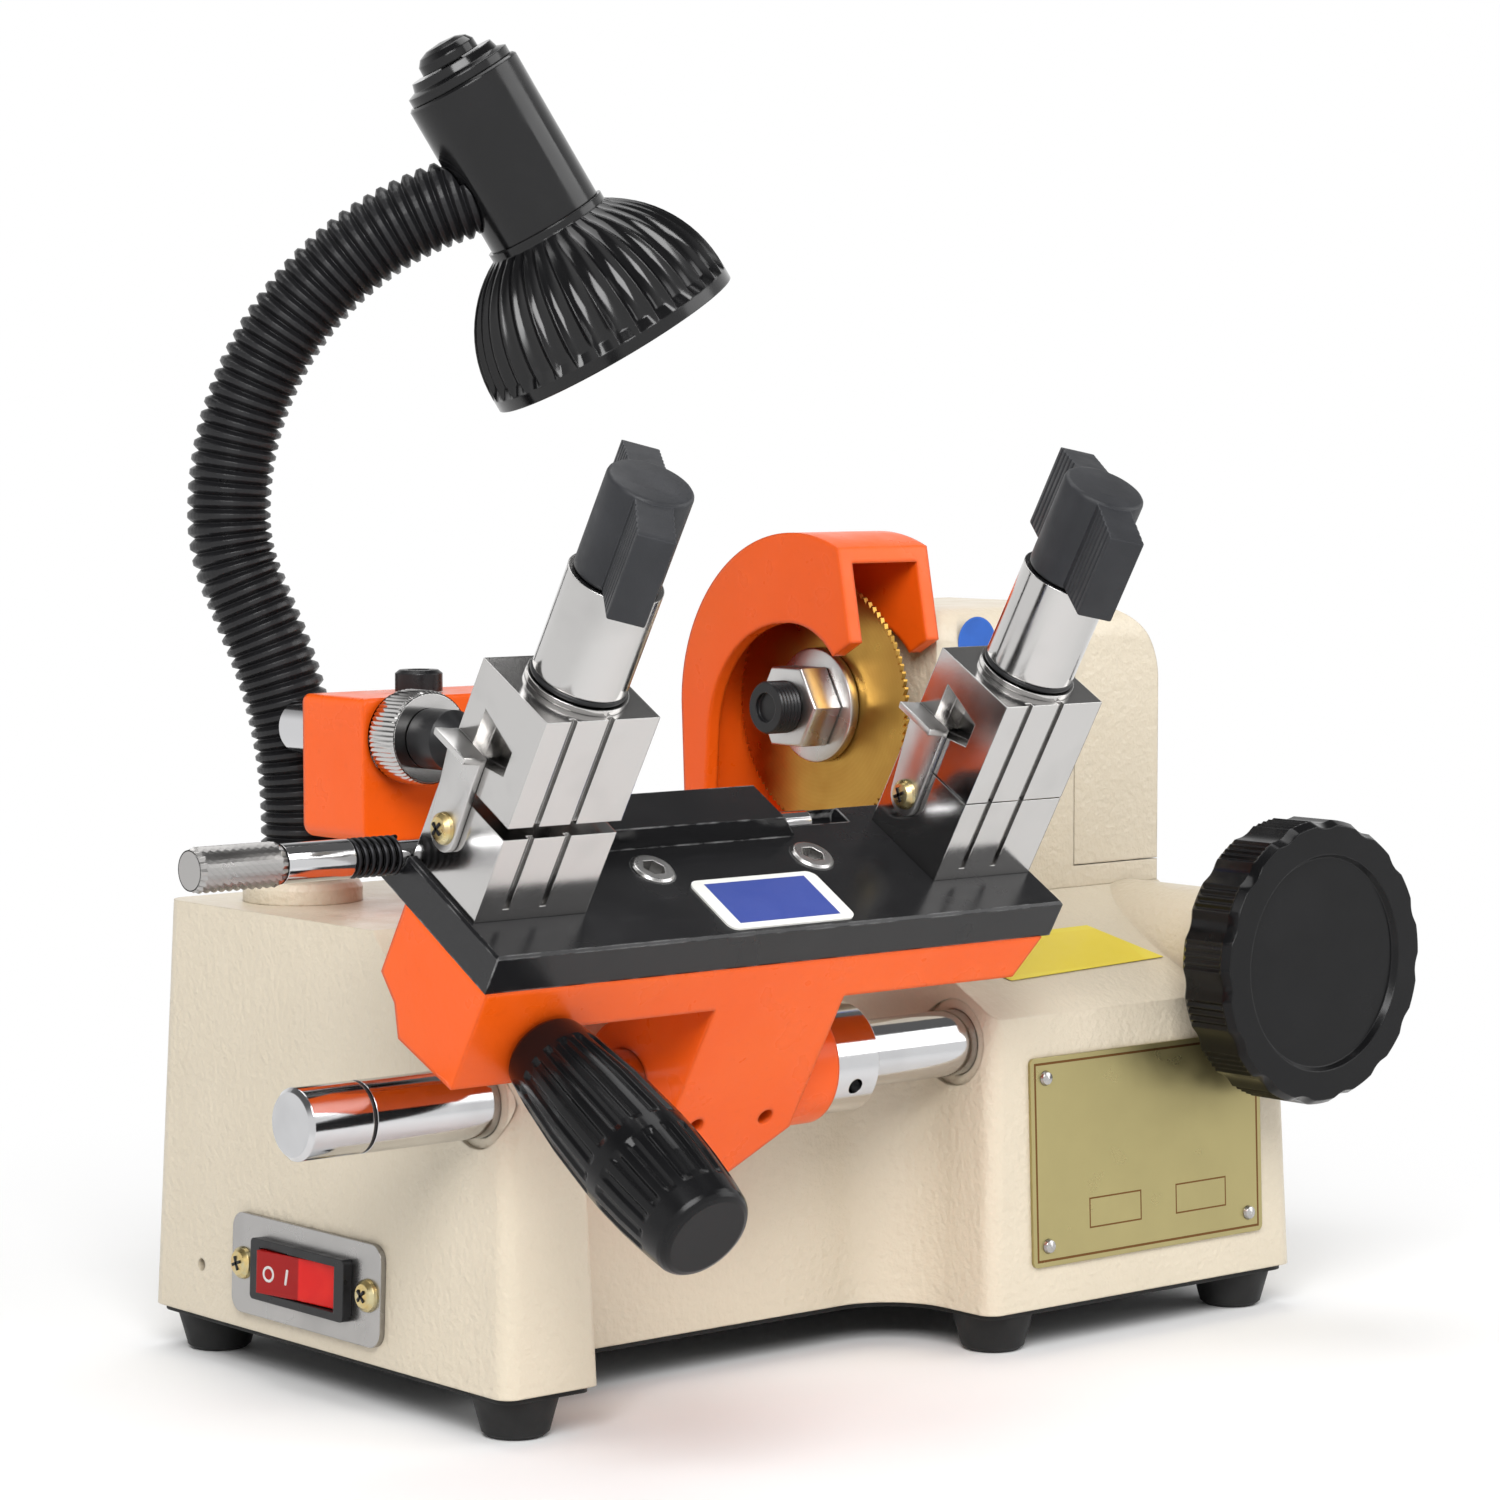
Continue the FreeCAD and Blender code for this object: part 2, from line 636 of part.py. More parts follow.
def cutter():
    blank = tube(spindle_at(CUTTER_X - CUTTER_T / 2), (1, 0, 0), CUTTER_R, STUB_R + SEAT, CUTTER_T)
    step = 2 * math.pi * CUTTER_R / CUTTER_TEETH
    notch = prism([(-0.1, CUTTER_R - CUTTER_TOOTH), (step * 0.95, CUTTER_R + 0.3), (-0.1, CUTTER_R + 0.3)], "X",
                  CUTTER_X - CUTTER_T, 2 * CUTTER_T)
    notch.translate(V(0, SPINDLE_Y, SPINDLE_Z))
    return blank.cut(Part.makeCompound(round_pattern(notch, spindle_at(0), (1, 0, 0), CUTTER_TEETH)))


def cutter_washer():
    x = CUTTER_X - CUTTER_T / 2 - SEAT - WASHER_T
    return tube(spindle_at(x), (1, 0, 0), WASHER_R, STUB_R + SEAT, WASHER_T)


def cutter_nut():
    x = CUTTER_X - CUTTER_T / 2 - WASHER_T - 2 * SEAT - NUT_T
    nut = hexagon(spindle_at(x), (1, 0, 0), NUT_AF, NUT_T)
    cone = [(0, -0.1), (NUT_AF / 2 + 0.2, -0.1), (NUT_AF / 2 + 3.2, 1.7), (NUT_AF / 2 + 3.2, NUT_T + 0.1),
            (0, NUT_T + 0.1)]
    nut = nut.common(turned(cone, spindle_at(x), (1, 0, 0)))
    return nut.cut(rod(spindle_at(x - 1), (1, 0, 0), STUB_R + SEAT, NUT_T + 2))


def hood_shape(inset, foot_z):
    """Side outline of the hood, moved inwards by an inset."""
    r = HOOD_R - inset
    up = V(0, HOOD_Y + r * math.cos(math.radians(113)), SPINDLE_Z + r * math.sin(math.radians(113)))
    over = V(0, HOOD_Y + r * math.cos(math.radians(60)), SPINDLE_Z + r * math.sin(math.radians(60)))
    back = V(0, HOOD_Y + r, SPINDLE_Z)
    foot = V(0, HOOD_Y + r - 2, foot_z)
    return up, over, back, foot


def at_spindle(y, z):
    return V(0, SPINDLE_Y + y, SPINDLE_Z + z)


def hood():
    tip = at_spindle(-27.5, 17.0)
    nose = at_spindle(-21.0, 13.5)
    lip = at_spindle(-14.5, 18.8)
    crown = at_spindle(-2.5, 21.0)
    throat = at_spindle(21.0, 9.0)
    heel = at_spindle(27.0, -8.0)
    up, over, back, foot = hood_shape(0, DECK_Z)
    heel_foot = V(0, SPINDLE_Y + 29.5, DECK_Z)
    side = Part.Wire([Part.Arc(up, over, back).toShape(), Part.LineSegment(back, foot).toShape(),
                      Part.LineSegment(foot, heel_foot).toShape(), Part.LineSegment(heel_foot, heel).toShape(),
                      Part.Arc(heel, throat, crown).toShape(), Part.Arc(crown, lip, nose).toShape(),
                      Part.LineSegment(nose, tip).toShape(), Part.LineSegment(tip, up).toShape()])
    body = Part.Face(side).extrude(V(HOOD_W, 0, 0))
    up, over, back, foot = hood_shape(HOOD_WALL, DECK_Z)
    front = V(0, SPINDLE_Y - 39, up.z - 1.0)
    low = V(0, SPINDLE_Y - 39, DECK_Z + HOOD_FLOOR)
    foot = V(0, back.y, DECK_Z + HOOD_FLOOR)
    room = Part.Wire([Part.Arc(up, over, back).toShape(), Part.LineSegment(back, foot).toShape(),
                      Part.LineSegment(foot, low).toShape(), Part.LineSegment(low, front).toShape(),
                      Part.LineSegment(front, up).toShape()])
    room = Part.Face(room).extrude(V(HOOD_W - 2 * HOOD_WALL, 0, 0))
    room.translate(V(HOOD_WALL, 0, 0))
    body = body.cut(room)
    body.translate(V(HOOD_LEFT, 0, SEAT))
    return body


def head_section(inset, radius):
    return rectangle(HEAD_FRONT + inset, HEAD_BACK - inset, HEAD_SEAT_Z + inset, HEAD_TOP - inset), radius


def spindle_head():
    points, _ = head_section(0, 0)
    body = prism(points, "X", HEAD_LEFT, COVER_LEFT - GAP - HEAD_LEFT, [0, 0, HEAD_ROUND, HEAD_ROUND])
    flange = box(HEAD_LEFT, BASE_L - DRAFT, HEAD_FRONT, HEAD_BACK, HEAD_SEAT_Z, HEAD_SEAT_Z + HEAD_FLANGE_T)
    body = body.fuse(flange)
    body.translate(V(0, 0, SEAT))
    body = body.cut(rod(spindle_at(HEAD_LEFT - 1), (1, 0, 0), SPINDLE_R + 1.0, COVER_LEFT))
    for x in (HEAD_LEFT - 1, COVER_LEFT - GAP - BEARING_W):
        body = body.cut(rod(spindle_at(x), (1, 0, 0), BEARING_R + SEAT, BEARING_W + 1))
    belt_room = box(PULLEY_X - BELT_ROOM, PULLEY_X + PULLEY_W + BELT_ROOM, HEAD_FRONT + 4, HEAD_BACK - 4, HEAD_SEAT_Z - 1,
                    HEAD_SEAT_Z + HEAD_FLANGE_T + 1)
    return body.cut(belt_room)


def spindle_bearings():
    starts = (HEAD_LEFT, COVER_LEFT - GAP - BEARING_W)
    return Part.makeCompound([tube(spindle_at(x), (1, 0, 0), BEARING_R, SPINDLE_R + RUN, BEARING_W) for x in starts])


def belt_cover():
    z0 = HEAD_SEAT_Z + HEAD_FLANGE_T + GAP
    right = BASE_L - DRAFT

    def shell(inset, left, z):
        side = prism([(left, z), (right - inset, z), (right - inset, HEAD_TOP - inset), (left, HEAD_TOP - inset)],
                     "Y", HEAD_FRONT + inset, HEAD_BACK - HEAD_FRONT - 2 * inset, [0, 0, COVER_ROUND - inset, 0])
        ends = prism(rectangle(HEAD_FRONT + inset, HEAD_BACK - inset, z, HEAD_TOP - inset), "X", left - 1,
                     right - left + 2, [0, 0, HEAD_ROUND - inset, HEAD_ROUND - inset])
        return side.common(ends)

    return shell(0, COVER_LEFT, z0).cut(shell(COVER_WALL, COVER_LEFT - 1, z0 - 1))


def pulley(x, y, z, radius, bore):
    rim = radius + FLANGE_H
    lip = (PULLEY_W - BELT_W) / 2 - GAP
    profile = [(bore, 0), (rim, 0), (rim, lip), (radius, lip), (radius, PULLEY_W - lip), (rim, PULLEY_W - lip),
               (rim, PULLEY_W), (bore, PULLEY_W)]
    return turned(profile, (x, y, z), (1, 0, 0))


def spindle_pulley():
    return pulley(PULLEY_X, SPINDLE_Y, SPINDLE_Z, SPINDLE_PULLEY_R, SPINDLE_R + SEAT)


def belt_loop(grow, x, width):
    """Closed band shape round both pulleys, grown outwards from their belt seats."""
    top = V(x, SPINDLE_Y, SPINDLE_Z)
    low = V(x, MOTOR_Y, MOTOR_Z)
    r_top, r_low = SPINDLE_PULLEY_R + grow, MOTOR_PULLEY_R + grow
    along = low - top
    reach = along.Length
    along.normalize()
    across = V(1, 0, 0).cross(along)
    lean = math.asin((r_top - r_low) / reach)
    edges = []
    tangents = []
    for side in (1, -1):
        out = across * (side * math.cos(lean)) + along * math.sin(lean)
        tangents.append((top + out * r_top, low + out * r_low))
    edges.append(Part.LineSegment(*tangents[0]).toShape())
    edges.append(Part.Arc(tangents[0][1], low + along * r_low, tangents[1][1]).toShape())
    edges.append(Part.LineSegment(tangents[1][1], tangents[1][0]).toShape())
    edges.append(Part.Arc(tangents[1][0], top - along * r_top, tangents[0][0]).toShape())
    return Part.Face(Part.Wire(edges)).extrude(V(width, 0, 0))


def drive_belt():
    x = PULLEY_X + (PULLEY_W - BELT_W) / 2
    return belt_loop(GAP + BELT_T, x, BELT_W).cut(belt_loop(GAP, x - 1, BELT_W + 2))


def motor():
    left = MOTOR_RIGHT - MOTOR_L
    can = rod((left, MOTOR_Y, MOTOR_Z), (1, 0, 0), MOTOR_R, MOTOR_L)
    cradle = box(left + 12, MOTOR_RIGHT - 12, MOTOR_Y - 26, MOTOR_Y + 26, BASE_Z + SEAT, MOTOR_Z)
    nose = rod((MOTOR_RIGHT, MOTOR_Y, MOTOR_Z), (1, 0, 0), 12, 5)
    body = can.fuse(cradle).fuse(nose)
    return body.cut(rod((MOTOR_RIGHT - 20, MOTOR_Y, MOTOR_Z), (1, 0, 0), MOTOR_SHAFT_R + RUN, 40))


def motor_rotor():
    start = MOTOR_RIGHT - 19
    shaft = rod((start, MOTOR_Y, MOTOR_Z), (1, 0, 0), MOTOR_SHAFT_R, PULLEY_X + PULLEY_W + 2 - start)
    return shaft.fuse(pulley(PULLEY_X, MOTOR_Y, MOTOR_Z, MOTOR_PULLEY_R, MOTOR_SHAFT_R - 1))


# Carriage

def carriage_casting():
    front, top = CAST_FRONT, PLATE_Z - SEAT
    deep_end = [(SLAB_BACK, top), (SLAB_BACK, 26.6), (8.6, 23.5), (3.6, 17.6), (front, 19.6), (front, top)]
    body = prism(deep_end, "X", PLATE_LEFT, 28)
    slab = [(PLATE_LEFT, SLAB_Z), (SLAB_RIGHT - 4, SLAB_Z), (SLAB_RIGHT, top), (PLATE_LEFT, top)]
    body = body.fuse(prism(slab, "Y", front, SLAB_BACK - front))
    cut = 14.0
    lug = [(HUB_LEFT, SLAB_Z + 1), (HUB_LEFT, HUB_BOTTOM + cut - 2), (HUB_LEFT + cut, HUB_BOTTOM),
           (HUB_RIGHT - cut, HUB_BOTTOM), (HUB_RIGHT, HUB_BOTTOM + cut - 2), (HUB_RIGHT, SLAB_Z + 1)]
    body = body.fuse(prism(lug, "Y", front, LUG_BACK - front))
    body = body.fuse(rod((HUB_LEFT, 0, 0), (1, 0, 0), HUB_R, HUB_END - HUB_LEFT))
    body = body.cut(rod((HUB_LEFT - 1, 0, 0), (1, 0, 0), SHAFT_R + RUN, HUB_END))
    for x in hub_screw_places():
        body = body.cut(rod((x, -SHAFT_R, 0), (0, -1, 0), 2.0, HUB_R + 5))
    for x, y in plate_screw_places():
        body = body.cut(rod((x, y, SLAB_Z + 3), (0, 0, 1), 2.5 + SEAT, PLATE_Z))
    body = body.cut(rod((HANDLE_X, front - 1, HANDLE_Z), (0, 1, 0), HANDLE_STUD_R + SEAT, 16))
    return on_carriage(body)


def hub_screw_places():
    return (HUB_LEFT + 8.5, HUB_RIGHT - 9.0)


def hub_screws():
    screws = []
    for x in hub_screw_places():
        screw = rod((x, -SHAFT_R - GAP, 0), (0, -1, 0), 2.0 - SEAT, 5)
        screws.append(on_carriage(screw.cut(hexagon((x, -SHAFT_R - 5.4, 0), (0, 1, 0), 2.0, 2))))
    return Part.makeCompound(screws)


def plate_screw_places():
    return ((36.0, 8.4), (82.5, 8.4))


def carriage_plate():
    top = PLATE_Z + PLATE_T
    body = box(PLATE_LEFT, PLATE_RIGHT, PLATE_FRONT, PLATE_BACK, PLATE_Z, top)
    rim = [e for e in body.Edges if e.BoundBox.ZMin > top - 0.1]
    body = body.makeChamfer(0.6, rim)
    rib = [(RIB_LEFT, top - 0.5), (RIB_RIGHT + 6, top - 0.5), (RIB_RIGHT, top + RIB_H), (RIB_LEFT, top + RIB_H)]
    body = body.fuse(prism(rib, "Y", 16.5, 13.0))
    body = body.cut(rod((PLATE_LEFT - 1, GAUGE_Y, GAUGE_Z), (1, 0, 0), GAUGE_R + RUN, GAUGE_RIGHT - PLATE_LEFT + 12))
    body = body.cut(box(PLATE_LEFT - 1, RIB_LEFT, GAUGE_Y - GAUGE_R - RUN, GAUGE_Y + GAUGE_R + RUN, GAUGE_Z, top + 1))
    body = body.cut(box(RIB_RIGHT, GAUGE_RIGHT + 11, GAUGE_Y - GAUGE_R - RUN, GAUGE_Y + GAUGE_R + RUN, GAUGE_Z, top + 9))
    for x, y in plate_screw_places():
        body = body.cut(rod((x, y, PLATE_Z - 1), (0, 0, 1), 2.5 + SEAT, PLATE_T + 2))
        body = body.cut(rod((x, y, top - 4.0), (0, 0, 1), 5.2 + SEAT, 6))
    for x in (LEFT_JAW_X, RIGHT_JAW_X):
        body = body.cut(rod((x + STUD_SIDE, STUD_Y, PLATE_Z - 1), (0, 0, 1), STUD_R + SEAT, PLATE_T + 2))
    return on_carriage(body)


def plate_screws():
    screws = []
    top = PLATE_Z + PLATE_T
    for x, y in plate_screw_places():
        head = [(0, -11), (2.5, -11), (2.5, -4 + SEAT), (5.2, -4 + SEAT), (5.2, 0.3), (4.6, 0.8), (0, 0.8)]
        screw = turned(head, (x, y, top), (0, 0, 1))
        screws.append(on_carriage(screw.cut(hexagon((x, y, top - 2.4), (0, 0, 1), 5.0, 4))))
    return Part.makeCompound(screws)


def plate_label():
    top = PLATE_Z + PLATE_T + SEAT
    label = prism(rectangle(41.5, 78.0, -15.6, 2.6), "Z", top, 0.5, 2.5)
    return on_carriage(label)


def grip_length():
    return CAST_FRONT - SEAT - HANDLE_END


def grip_radius(z):
    """The grip swells from its foot to three fifths of its length and narrows to its end."""
    wide = 0.62 * grip_length()
    if z < wide:
        return HANDLE_R * (1 - 0.25 * ((wide - z) / (wide - 3.0)) ** 2)
    return HANDLE_R * (1 - 0.14 * ((z - wide) / (grip_length() - 2.0 - wide)) ** 2)


def grip_band(z0, z1, before=(), after=()):
    """A smooth length of the grip as a revolved arc, with further profile points at either end."""
    arc = Part.Arc(*[V(grip_radius(z), 0, z) for z in (z0, (z0 + z1) / 2, z1)]).toShape()
    start = [V(r, 0, z) for r, z in before]
    end = [V(r, 0, z) for r, z in after]
    points = [V(grip_radius(z1), 0, z1)] + end + [V(0, 0, (end or [V(0, 0, z1)])[-1].z)]
    points += [V(0, 0, (start or [V(0, 0, z0)])[0].z)] + start + [V(grip_radius(z0), 0, z0)]
    lines = [Part.LineSegment(points[i], points[i + 1]).toShape() for i in range(len(points) - 1)]
    return Part.Face(Part.Wire([arc] + lines)).revolve(V(0, 0, 0), V(0, 0, 1), 360)


def grip_flutes(z0, z1):
    """A grooved length of the grip: a ruled loft through rings whose grooves run out at both ends."""
    run = 1.8
    shares = ((0.0, 0.0), (0.2, 0.0), (0.4, 0.0), (0.58, 1.0), (0.82, 1.0))
    rings = []
    for z, depth in ((z0, 0), (z0 + run, 1), ((z0 + z1) / 2, 1), (z1 - run, 1), (z1, 0)):
        rings.append(fluted_ring(grip_radius(z), z, HANDLE_FLUTES, depth * HANDLE_FLUTE_D, shares))
    return Part.makeLoft(rings, True, True)


def handle_grip():
    length = grip_length()
    r = HANDLE_R
    marks = [share * length for share in (0.13, 0.60, 0.65, 0.90)]
    foot = [(0.52 * r, 0), (0.66 * r, 0.7), (0.73 * r, 1.9)]
    end = [(0.83 * r, length - 1.1), (0.78 * r, length - 0.4), (0.70 * r, length)]
    parts = [grip_band(3.0, marks[0], before=foot), grip_flutes(marks[0], marks[1]), grip_band(marks[1], marks[2]),
             grip_flutes(marks[2], marks[3]), grip_band(marks[3], length - 2.0, after=end)]
    grip = parts[0].multiFuse(parts[1:])
    grip = grip.cut(rod((0, 0, -1), (0, 0, 1), HANDLE_STUD_R + SEAT, length * 0.7 + 1))
    start = CAST_FRONT - SEAT
    grip.Placement = FreeCAD.Placement(V(HANDLE_X, start, HANDLE_Z), FreeCAD.Rotation(V(0, 0, 1), V(0, -1, 0)))
    return on_carriage(grip)


def handle_stud():
    start = CAST_FRONT - SEAT
    length = 0.7 * grip_length() - 0.5
    return on_carriage(rod((HANDLE_X, start - length, HANDLE_Z), (0, 1, 0), HANDLE_STUD_R, length + 14))


# Key gauge

def gauge_rod():
    start = GAUGE_LEFT + 3
    body = rod((start, GAUGE_Y, GAUGE_Z), (1, 0, 0), GAUGE_R, GAUGE_RIGHT - start)
    sleeve = (GAUGE_LEFT + GAUGE_KNOB_L + SEAT, GAUGE_Y, GAUGE_Z)
    return on_carriage(body.fuse(rod(sleeve, (1, 0, 0), GAUGE_SLEEVE_R, GAUGE_SLEEVE_L)))


def gauge_knob():
    x = GAUGE_LEFT
    knob = [(0, 0), (GAUGE_KNOB_R - 1, 0), (GAUGE_KNOB_R, 1.5), (GAUGE_KNOB_R, GAUGE_KNOB_L - 1),
            (GAUGE_KNOB_R - 0.5, GAUGE_KNOB_L), (0, GAUGE_KNOB_L)]
    body = turned(knob, (x, GAUGE_Y, GAUGE_Z), (1, 0, 0))
    body = body.cut(rod((x + 3 - SEAT, GAUGE_Y, GAUGE_Z), (1, 0, 0), GAUGE_R + SEAT, GAUGE_KNOB_L))
    return on_carriage(body)


def gauge_spring():
    """One unbroken wire: quarter turns of a helix as arcs, with the least gap between its turns printed."""
    x0 = GAUGE_LEFT + GAUGE_KNOB_L + GAUGE_SLEEVE_L + SPRING_WIRE_R + 0.1
    x1 = PLATE_LEFT - SPRING_WIRE_R - 0.1
    coil_r = GAUGE_R + SPRING_WIRE_R + 0.25
    quarters = 4 * SPRING_TURNS

    def on_helix(turn):
        angle = 2 * math.pi * turn
        return V(x0 + (x1 - x0) * turn / SPRING_TURNS, coil_r * math.cos(angle), coil_r * math.sin(angle))

    arcs = []
    for i in range(quarters):
        arcs.append(Part.Arc(on_helix(i / 4), on_helix((i + 0.5) / 4), on_helix((i + 1) / 4)).toShape())
    path = Part.Wire(arcs)
    start_way = arcs[0].tangentAt(arcs[0].FirstParameter)
    side = start_way.cross(V(1, 0, 0)).normalize()
    rise = start_way.cross(side)
    corners = []
    for i in range(SPRING_SIDES):
        angle = 2 * math.pi * i / SPRING_SIDES
        corners.append(on_helix(0) + (side * math.cos(angle) + rise * math.sin(angle)) * SPRING_WIRE_R)
    section = Part.makePolygon(corners + corners[:1])
    spring = path.makePipeShell([section], True, False)
    pitch = (x1 - x0) / SPRING_TURNS
    print("gauge spring least gap", round(pitch - 2 * SPRING_WIRE_R, 2))
    spring.translate(V(0, GAUGE_Y, GAUGE_Z))
    return on_carriage(spring)


# Clamps

def jaw_grooves(x, z0, z1):
    grooves = []
    for side in (7.3, 17.1):
        grooves.append(box(x + side - GROOVE_W / 2, x + side + GROOVE_W / 2, JAW_FRONT - 1, JAW_FRONT + GROOVE_D, z0, z1))
    return Part.makeCompound(grooves)


def plate_top():
    return PLATE_Z + PLATE_T + SEAT


def lower_jaw(x):
    z = plate_top()
    body = box(x, x + JAW_W, JAW_FRONT, JAW_FRONT + JAW_D, z, JAW_STEP_Z)
    body = body.cut(jaw_grooves(x, z + 3, JAW_STEP_Z + 1))
    body = body.cut(rod((x + STUD_SIDE, STUD_Y, z - 1), (0, 0, 1), STUD_R + SEAT, 60))
    body = body.cut(rod((x - 1, 12.3, 66.7), (1, 0, 0), 2.0, 6))
    return on_carriage(body)


def upper_jaw(x, gap):
    z = JAW_STEP_Z + gap
    top = z + UPPER_JAW_H
    body = box(x, x + JAW_W, JAW_FRONT, JAW_FRONT + JAW_D, z, top)
    body = body.cut(jaw_grooves(x, z - 1, top + 1))
    body = body.cut(rod((x + STUD_SIDE, STUD_Y, z - 1), (0, 0, 1), STUD_R + 0.08, 60))
    # Window that the guide strap's lip enters
    body = body.cut(prism([(2.3, 86.5), (14.6, 83.0), (14.6, 95.5), (2.3, 92.5)], "X", x - 1, 5.5))
    return on_carriage(body)


def clamp_stud(x, gap):
    z = PLATE_Z + 1.0
    top = JAW_STEP_Z + gap + UPPER_JAW_H + RING_H + SLEEVE_H + STUD_REACH
    return on_carriage(rod((x + STUD_SIDE, STUD_Y, z), (0, 0, 1), STUD_R, top - z))


def guide_strap(x):
    t = 1.6
    left = x - t - SEAT
    points = [(8.0, 61.5), (16.5, 61.5), (17.6, 71.0), (21.0, 82.5), (21.0, 86.5), (8.6, 88.8), (8.6, 84.0),
              (11.4, 73.0), (8.0, 67.0)]
    body = prism(points, "X", left, t, [3, 3, 0, 0, 0.8, 0.8, 0, 0, 0])
    lip = prism([(21.0, 84.9), (21.0, 86.5), (8.6, 88.8), (-1.0, 88.8), (8.6, 86.9)], "X", left - 2.4, 2.5)
    body = body.fuse(lip)
    body = body.cut(rod((left - 1, 12.3, 66.7), (1, 0, 0), 2.0, 5))
    return on_carriage(body)


def strap_screw(x):
    return on_carriage(pan_screw((x - 1.6 - 2 * SEAT, 12.3, 66.7), (-1, 0, 0), 3.6, 2.2, 1.9, 4.5))


def knob_sleeve(x, gap):
    z = JAW_STEP_Z + gap + UPPER_JAW_H + SEAT
    inner = STUD_R + 0.1
    profile = [(inner, 0), (11.3, 0), (11.3, 1.4), (9.6, 1.4), (9.6, RING_H), (SLEEVE_R, RING_H),
               (SLEEVE_R, RING_H + SLEEVE_H), (inner, RING_H + SLEEVE_H)]
    return on_carriage(turned(profile, (x + STUD_SIDE, STUD_Y, z), (0, 0, 1)))


def wing_knob(x, gap, turn):
    z = JAW_STEP_Z + gap + UPPER_JAW_H + RING_H + SLEEVE_H + 2 * SEAT
    barrel = turned([(0, 0), (KNOB_R - 0.4, 0), (KNOB_R, KNOB_H - 3), (KNOB_R - 0.8, KNOB_H - 0.9), (KNOB_R - 2.4, KNOB_H),
                     (0, KNOB_H)], (0, 0, 0), (0, 0, 1))
    w = WING_REACH
    side = [(-w + 1.5, -5.5), (-KNOB_R + 0.4, -5.5), (-KNOB_R + 0.4, 0), (KNOB_R - 0.4, 0), (KNOB_R - 0.4, -5.5),
            (w - 1.5, -5.5), (w, 15), (w - 3, KNOB_H - 1.0), (-w + 3, KNOB_H - 1.0), (-w, 15)]
    wings = prism(side, "Y", -WING_T / 2, WING_T, [1, 0, 0, 0, 0, 1, 0, 3, 3, 0])
    # Below its barrel the knob reaches round the sleeve
    wings = wings.cut(rod((0, 0, -10), (0, 0, 1), SLEEVE_R + 0.1, 10))
    knob = barrel.fuse(wings)
    knob = knob.cut(rod((0, 0, -10), (0, 0, 1), STUD_R + 0.1, 10 + STUD_REACH + LEFT_GAP + 1))
    knob.rotate(V(0, 0, 0), V(0, 0, 1), turn)
    knob.translate(V(x + STUD_SIDE, STUD_Y, z))
    return on_carriage(knob)


# Tracer

def tracer_bracket():
    left, right = BRACKET_LEFT, BRACKET_RIGHT
    back = BRACKET_FRONT + BRACKET_D
    foot_left = right - BRACKET_FOOT_W
    shape = [(left, BRACKET_BOTTOM), (foot_left, BRACKET_BOTTOM), (foot_left, DECK_Z + SEAT), (right, DECK_Z + SEAT),
             (right, BRACKET_TOP), (left, BRACKET_TOP)]
    body = prism(shape, "Y", BRACKET_FRONT, BRACKET_D, [3.5, 6, 0, 0, 2.5, 2])
    body = body.cut(rod((TRACER_X, BRACKET_FRONT - 1, TRACER_Z), (0, 1, 0), TRACER_ROD_R + RUN, BRACKET_D + 2))
    middle = (BRACKET_FRONT + back) / 2
    return body.cut(rod((LOCK_X, middle, BRACKET_TOP - LOCK_DEPTH - 1), (0, 0, 1), 2.5 + RUN, 20))


def tracer_rod():
    front = RING_FRONT - 6.0
    body = rod((TRACER_X, front, TRACER_Z), (0, 1, 0), TRACER_ROD_R, TRACER_ROD_BACK - front)
    rim = [e for e in body.Edges if e.BoundBox.YMin > TRACER_ROD_BACK - 0.1]
    return body.makeChamfer(0.8, rim)


def stylus():
    length = RING_FRONT - TRACER_TIP
    profile = [(0, 0), (2.2, 0), (STYLUS_R, 5.0), (STYLUS_R, length - GAP), (TRACER_ROD_R + SEAT, length - GAP),
               (TRACER_ROD_R + SEAT, length - 6.0 - SEAT), (0, length - 6.0 - SEAT)]
    return turned(profile, (TRACER_X, TRACER_TIP, TRACER_Z), (0, 1, 0))


def tracer_ring():
    profile = [(TRACER_ROD_R + RUN, 0), (RING_R - 1.5, 0), (RING_R, 1.5), (RING_R, RING_L - 1), (RING_R - 1, RING_L),
               (TRACER_ROD_R + RUN, RING_L)]
    return turned(profile, (TRACER_X, RING_FRONT, TRACER_Z), (0, 1, 0))


def tracer_lock():
    y = BRACKET_FRONT + BRACKET_D / 2
    z = BRACKET_TOP - LOCK_DEPTH
    head = LOCK_DEPTH + GAP
    profile = [(0, 0), (2.5, 0), (2.5, head), (5.6, head), (5.6, head + 4.2), (4.6, head + 5.0), (0, head + 5.0)]
    screw = turned(profile, (LOCK_X, y, z), (0, 0, 1))
    return screw.cut(hexagon((LOCK_X, y, z + head + 2.4), (0, 0, 1), 5.0, 4))


# Lamp

def lamp_frame():
    """The lamp's plane: across, up and away from its front."""
    turn = math.radians(LAMP_TURN)
    across = V(math.cos(turn), math.sin(turn), 0)
    away = V(-math.sin(turn), math.cos(turn), 0)
    return V(LAMP_X, LAMP_Y, DECK_Z), across, away


def neck_path():
    """Line and arcs of the neck: list of (start, heading in degrees from upright, turn, radius or run)."""
    runs = [("line", NECK_RISE, 0), ("arc", NECK_LOW_R, -NECK_LEAN), ("line", NECK_LEAN_RUN, 0),
            ("arc", NECK_MID_R, NECK_LEAN), ("arc", NECK_TOP_R, NECK_TOP_TURN), ("line", NECK_END_RUN, 0)]
    base, across, _ = lamp_frame()
    place, heading = (0.0, NECK_FOOT_H), 0.0
    steps = []
    for kind, size, turn in runs:
        steps.append((kind, size, turn, place, heading))
        place, heading = walk(kind, size, turn, place, heading, 1.0)
    return steps, place, heading


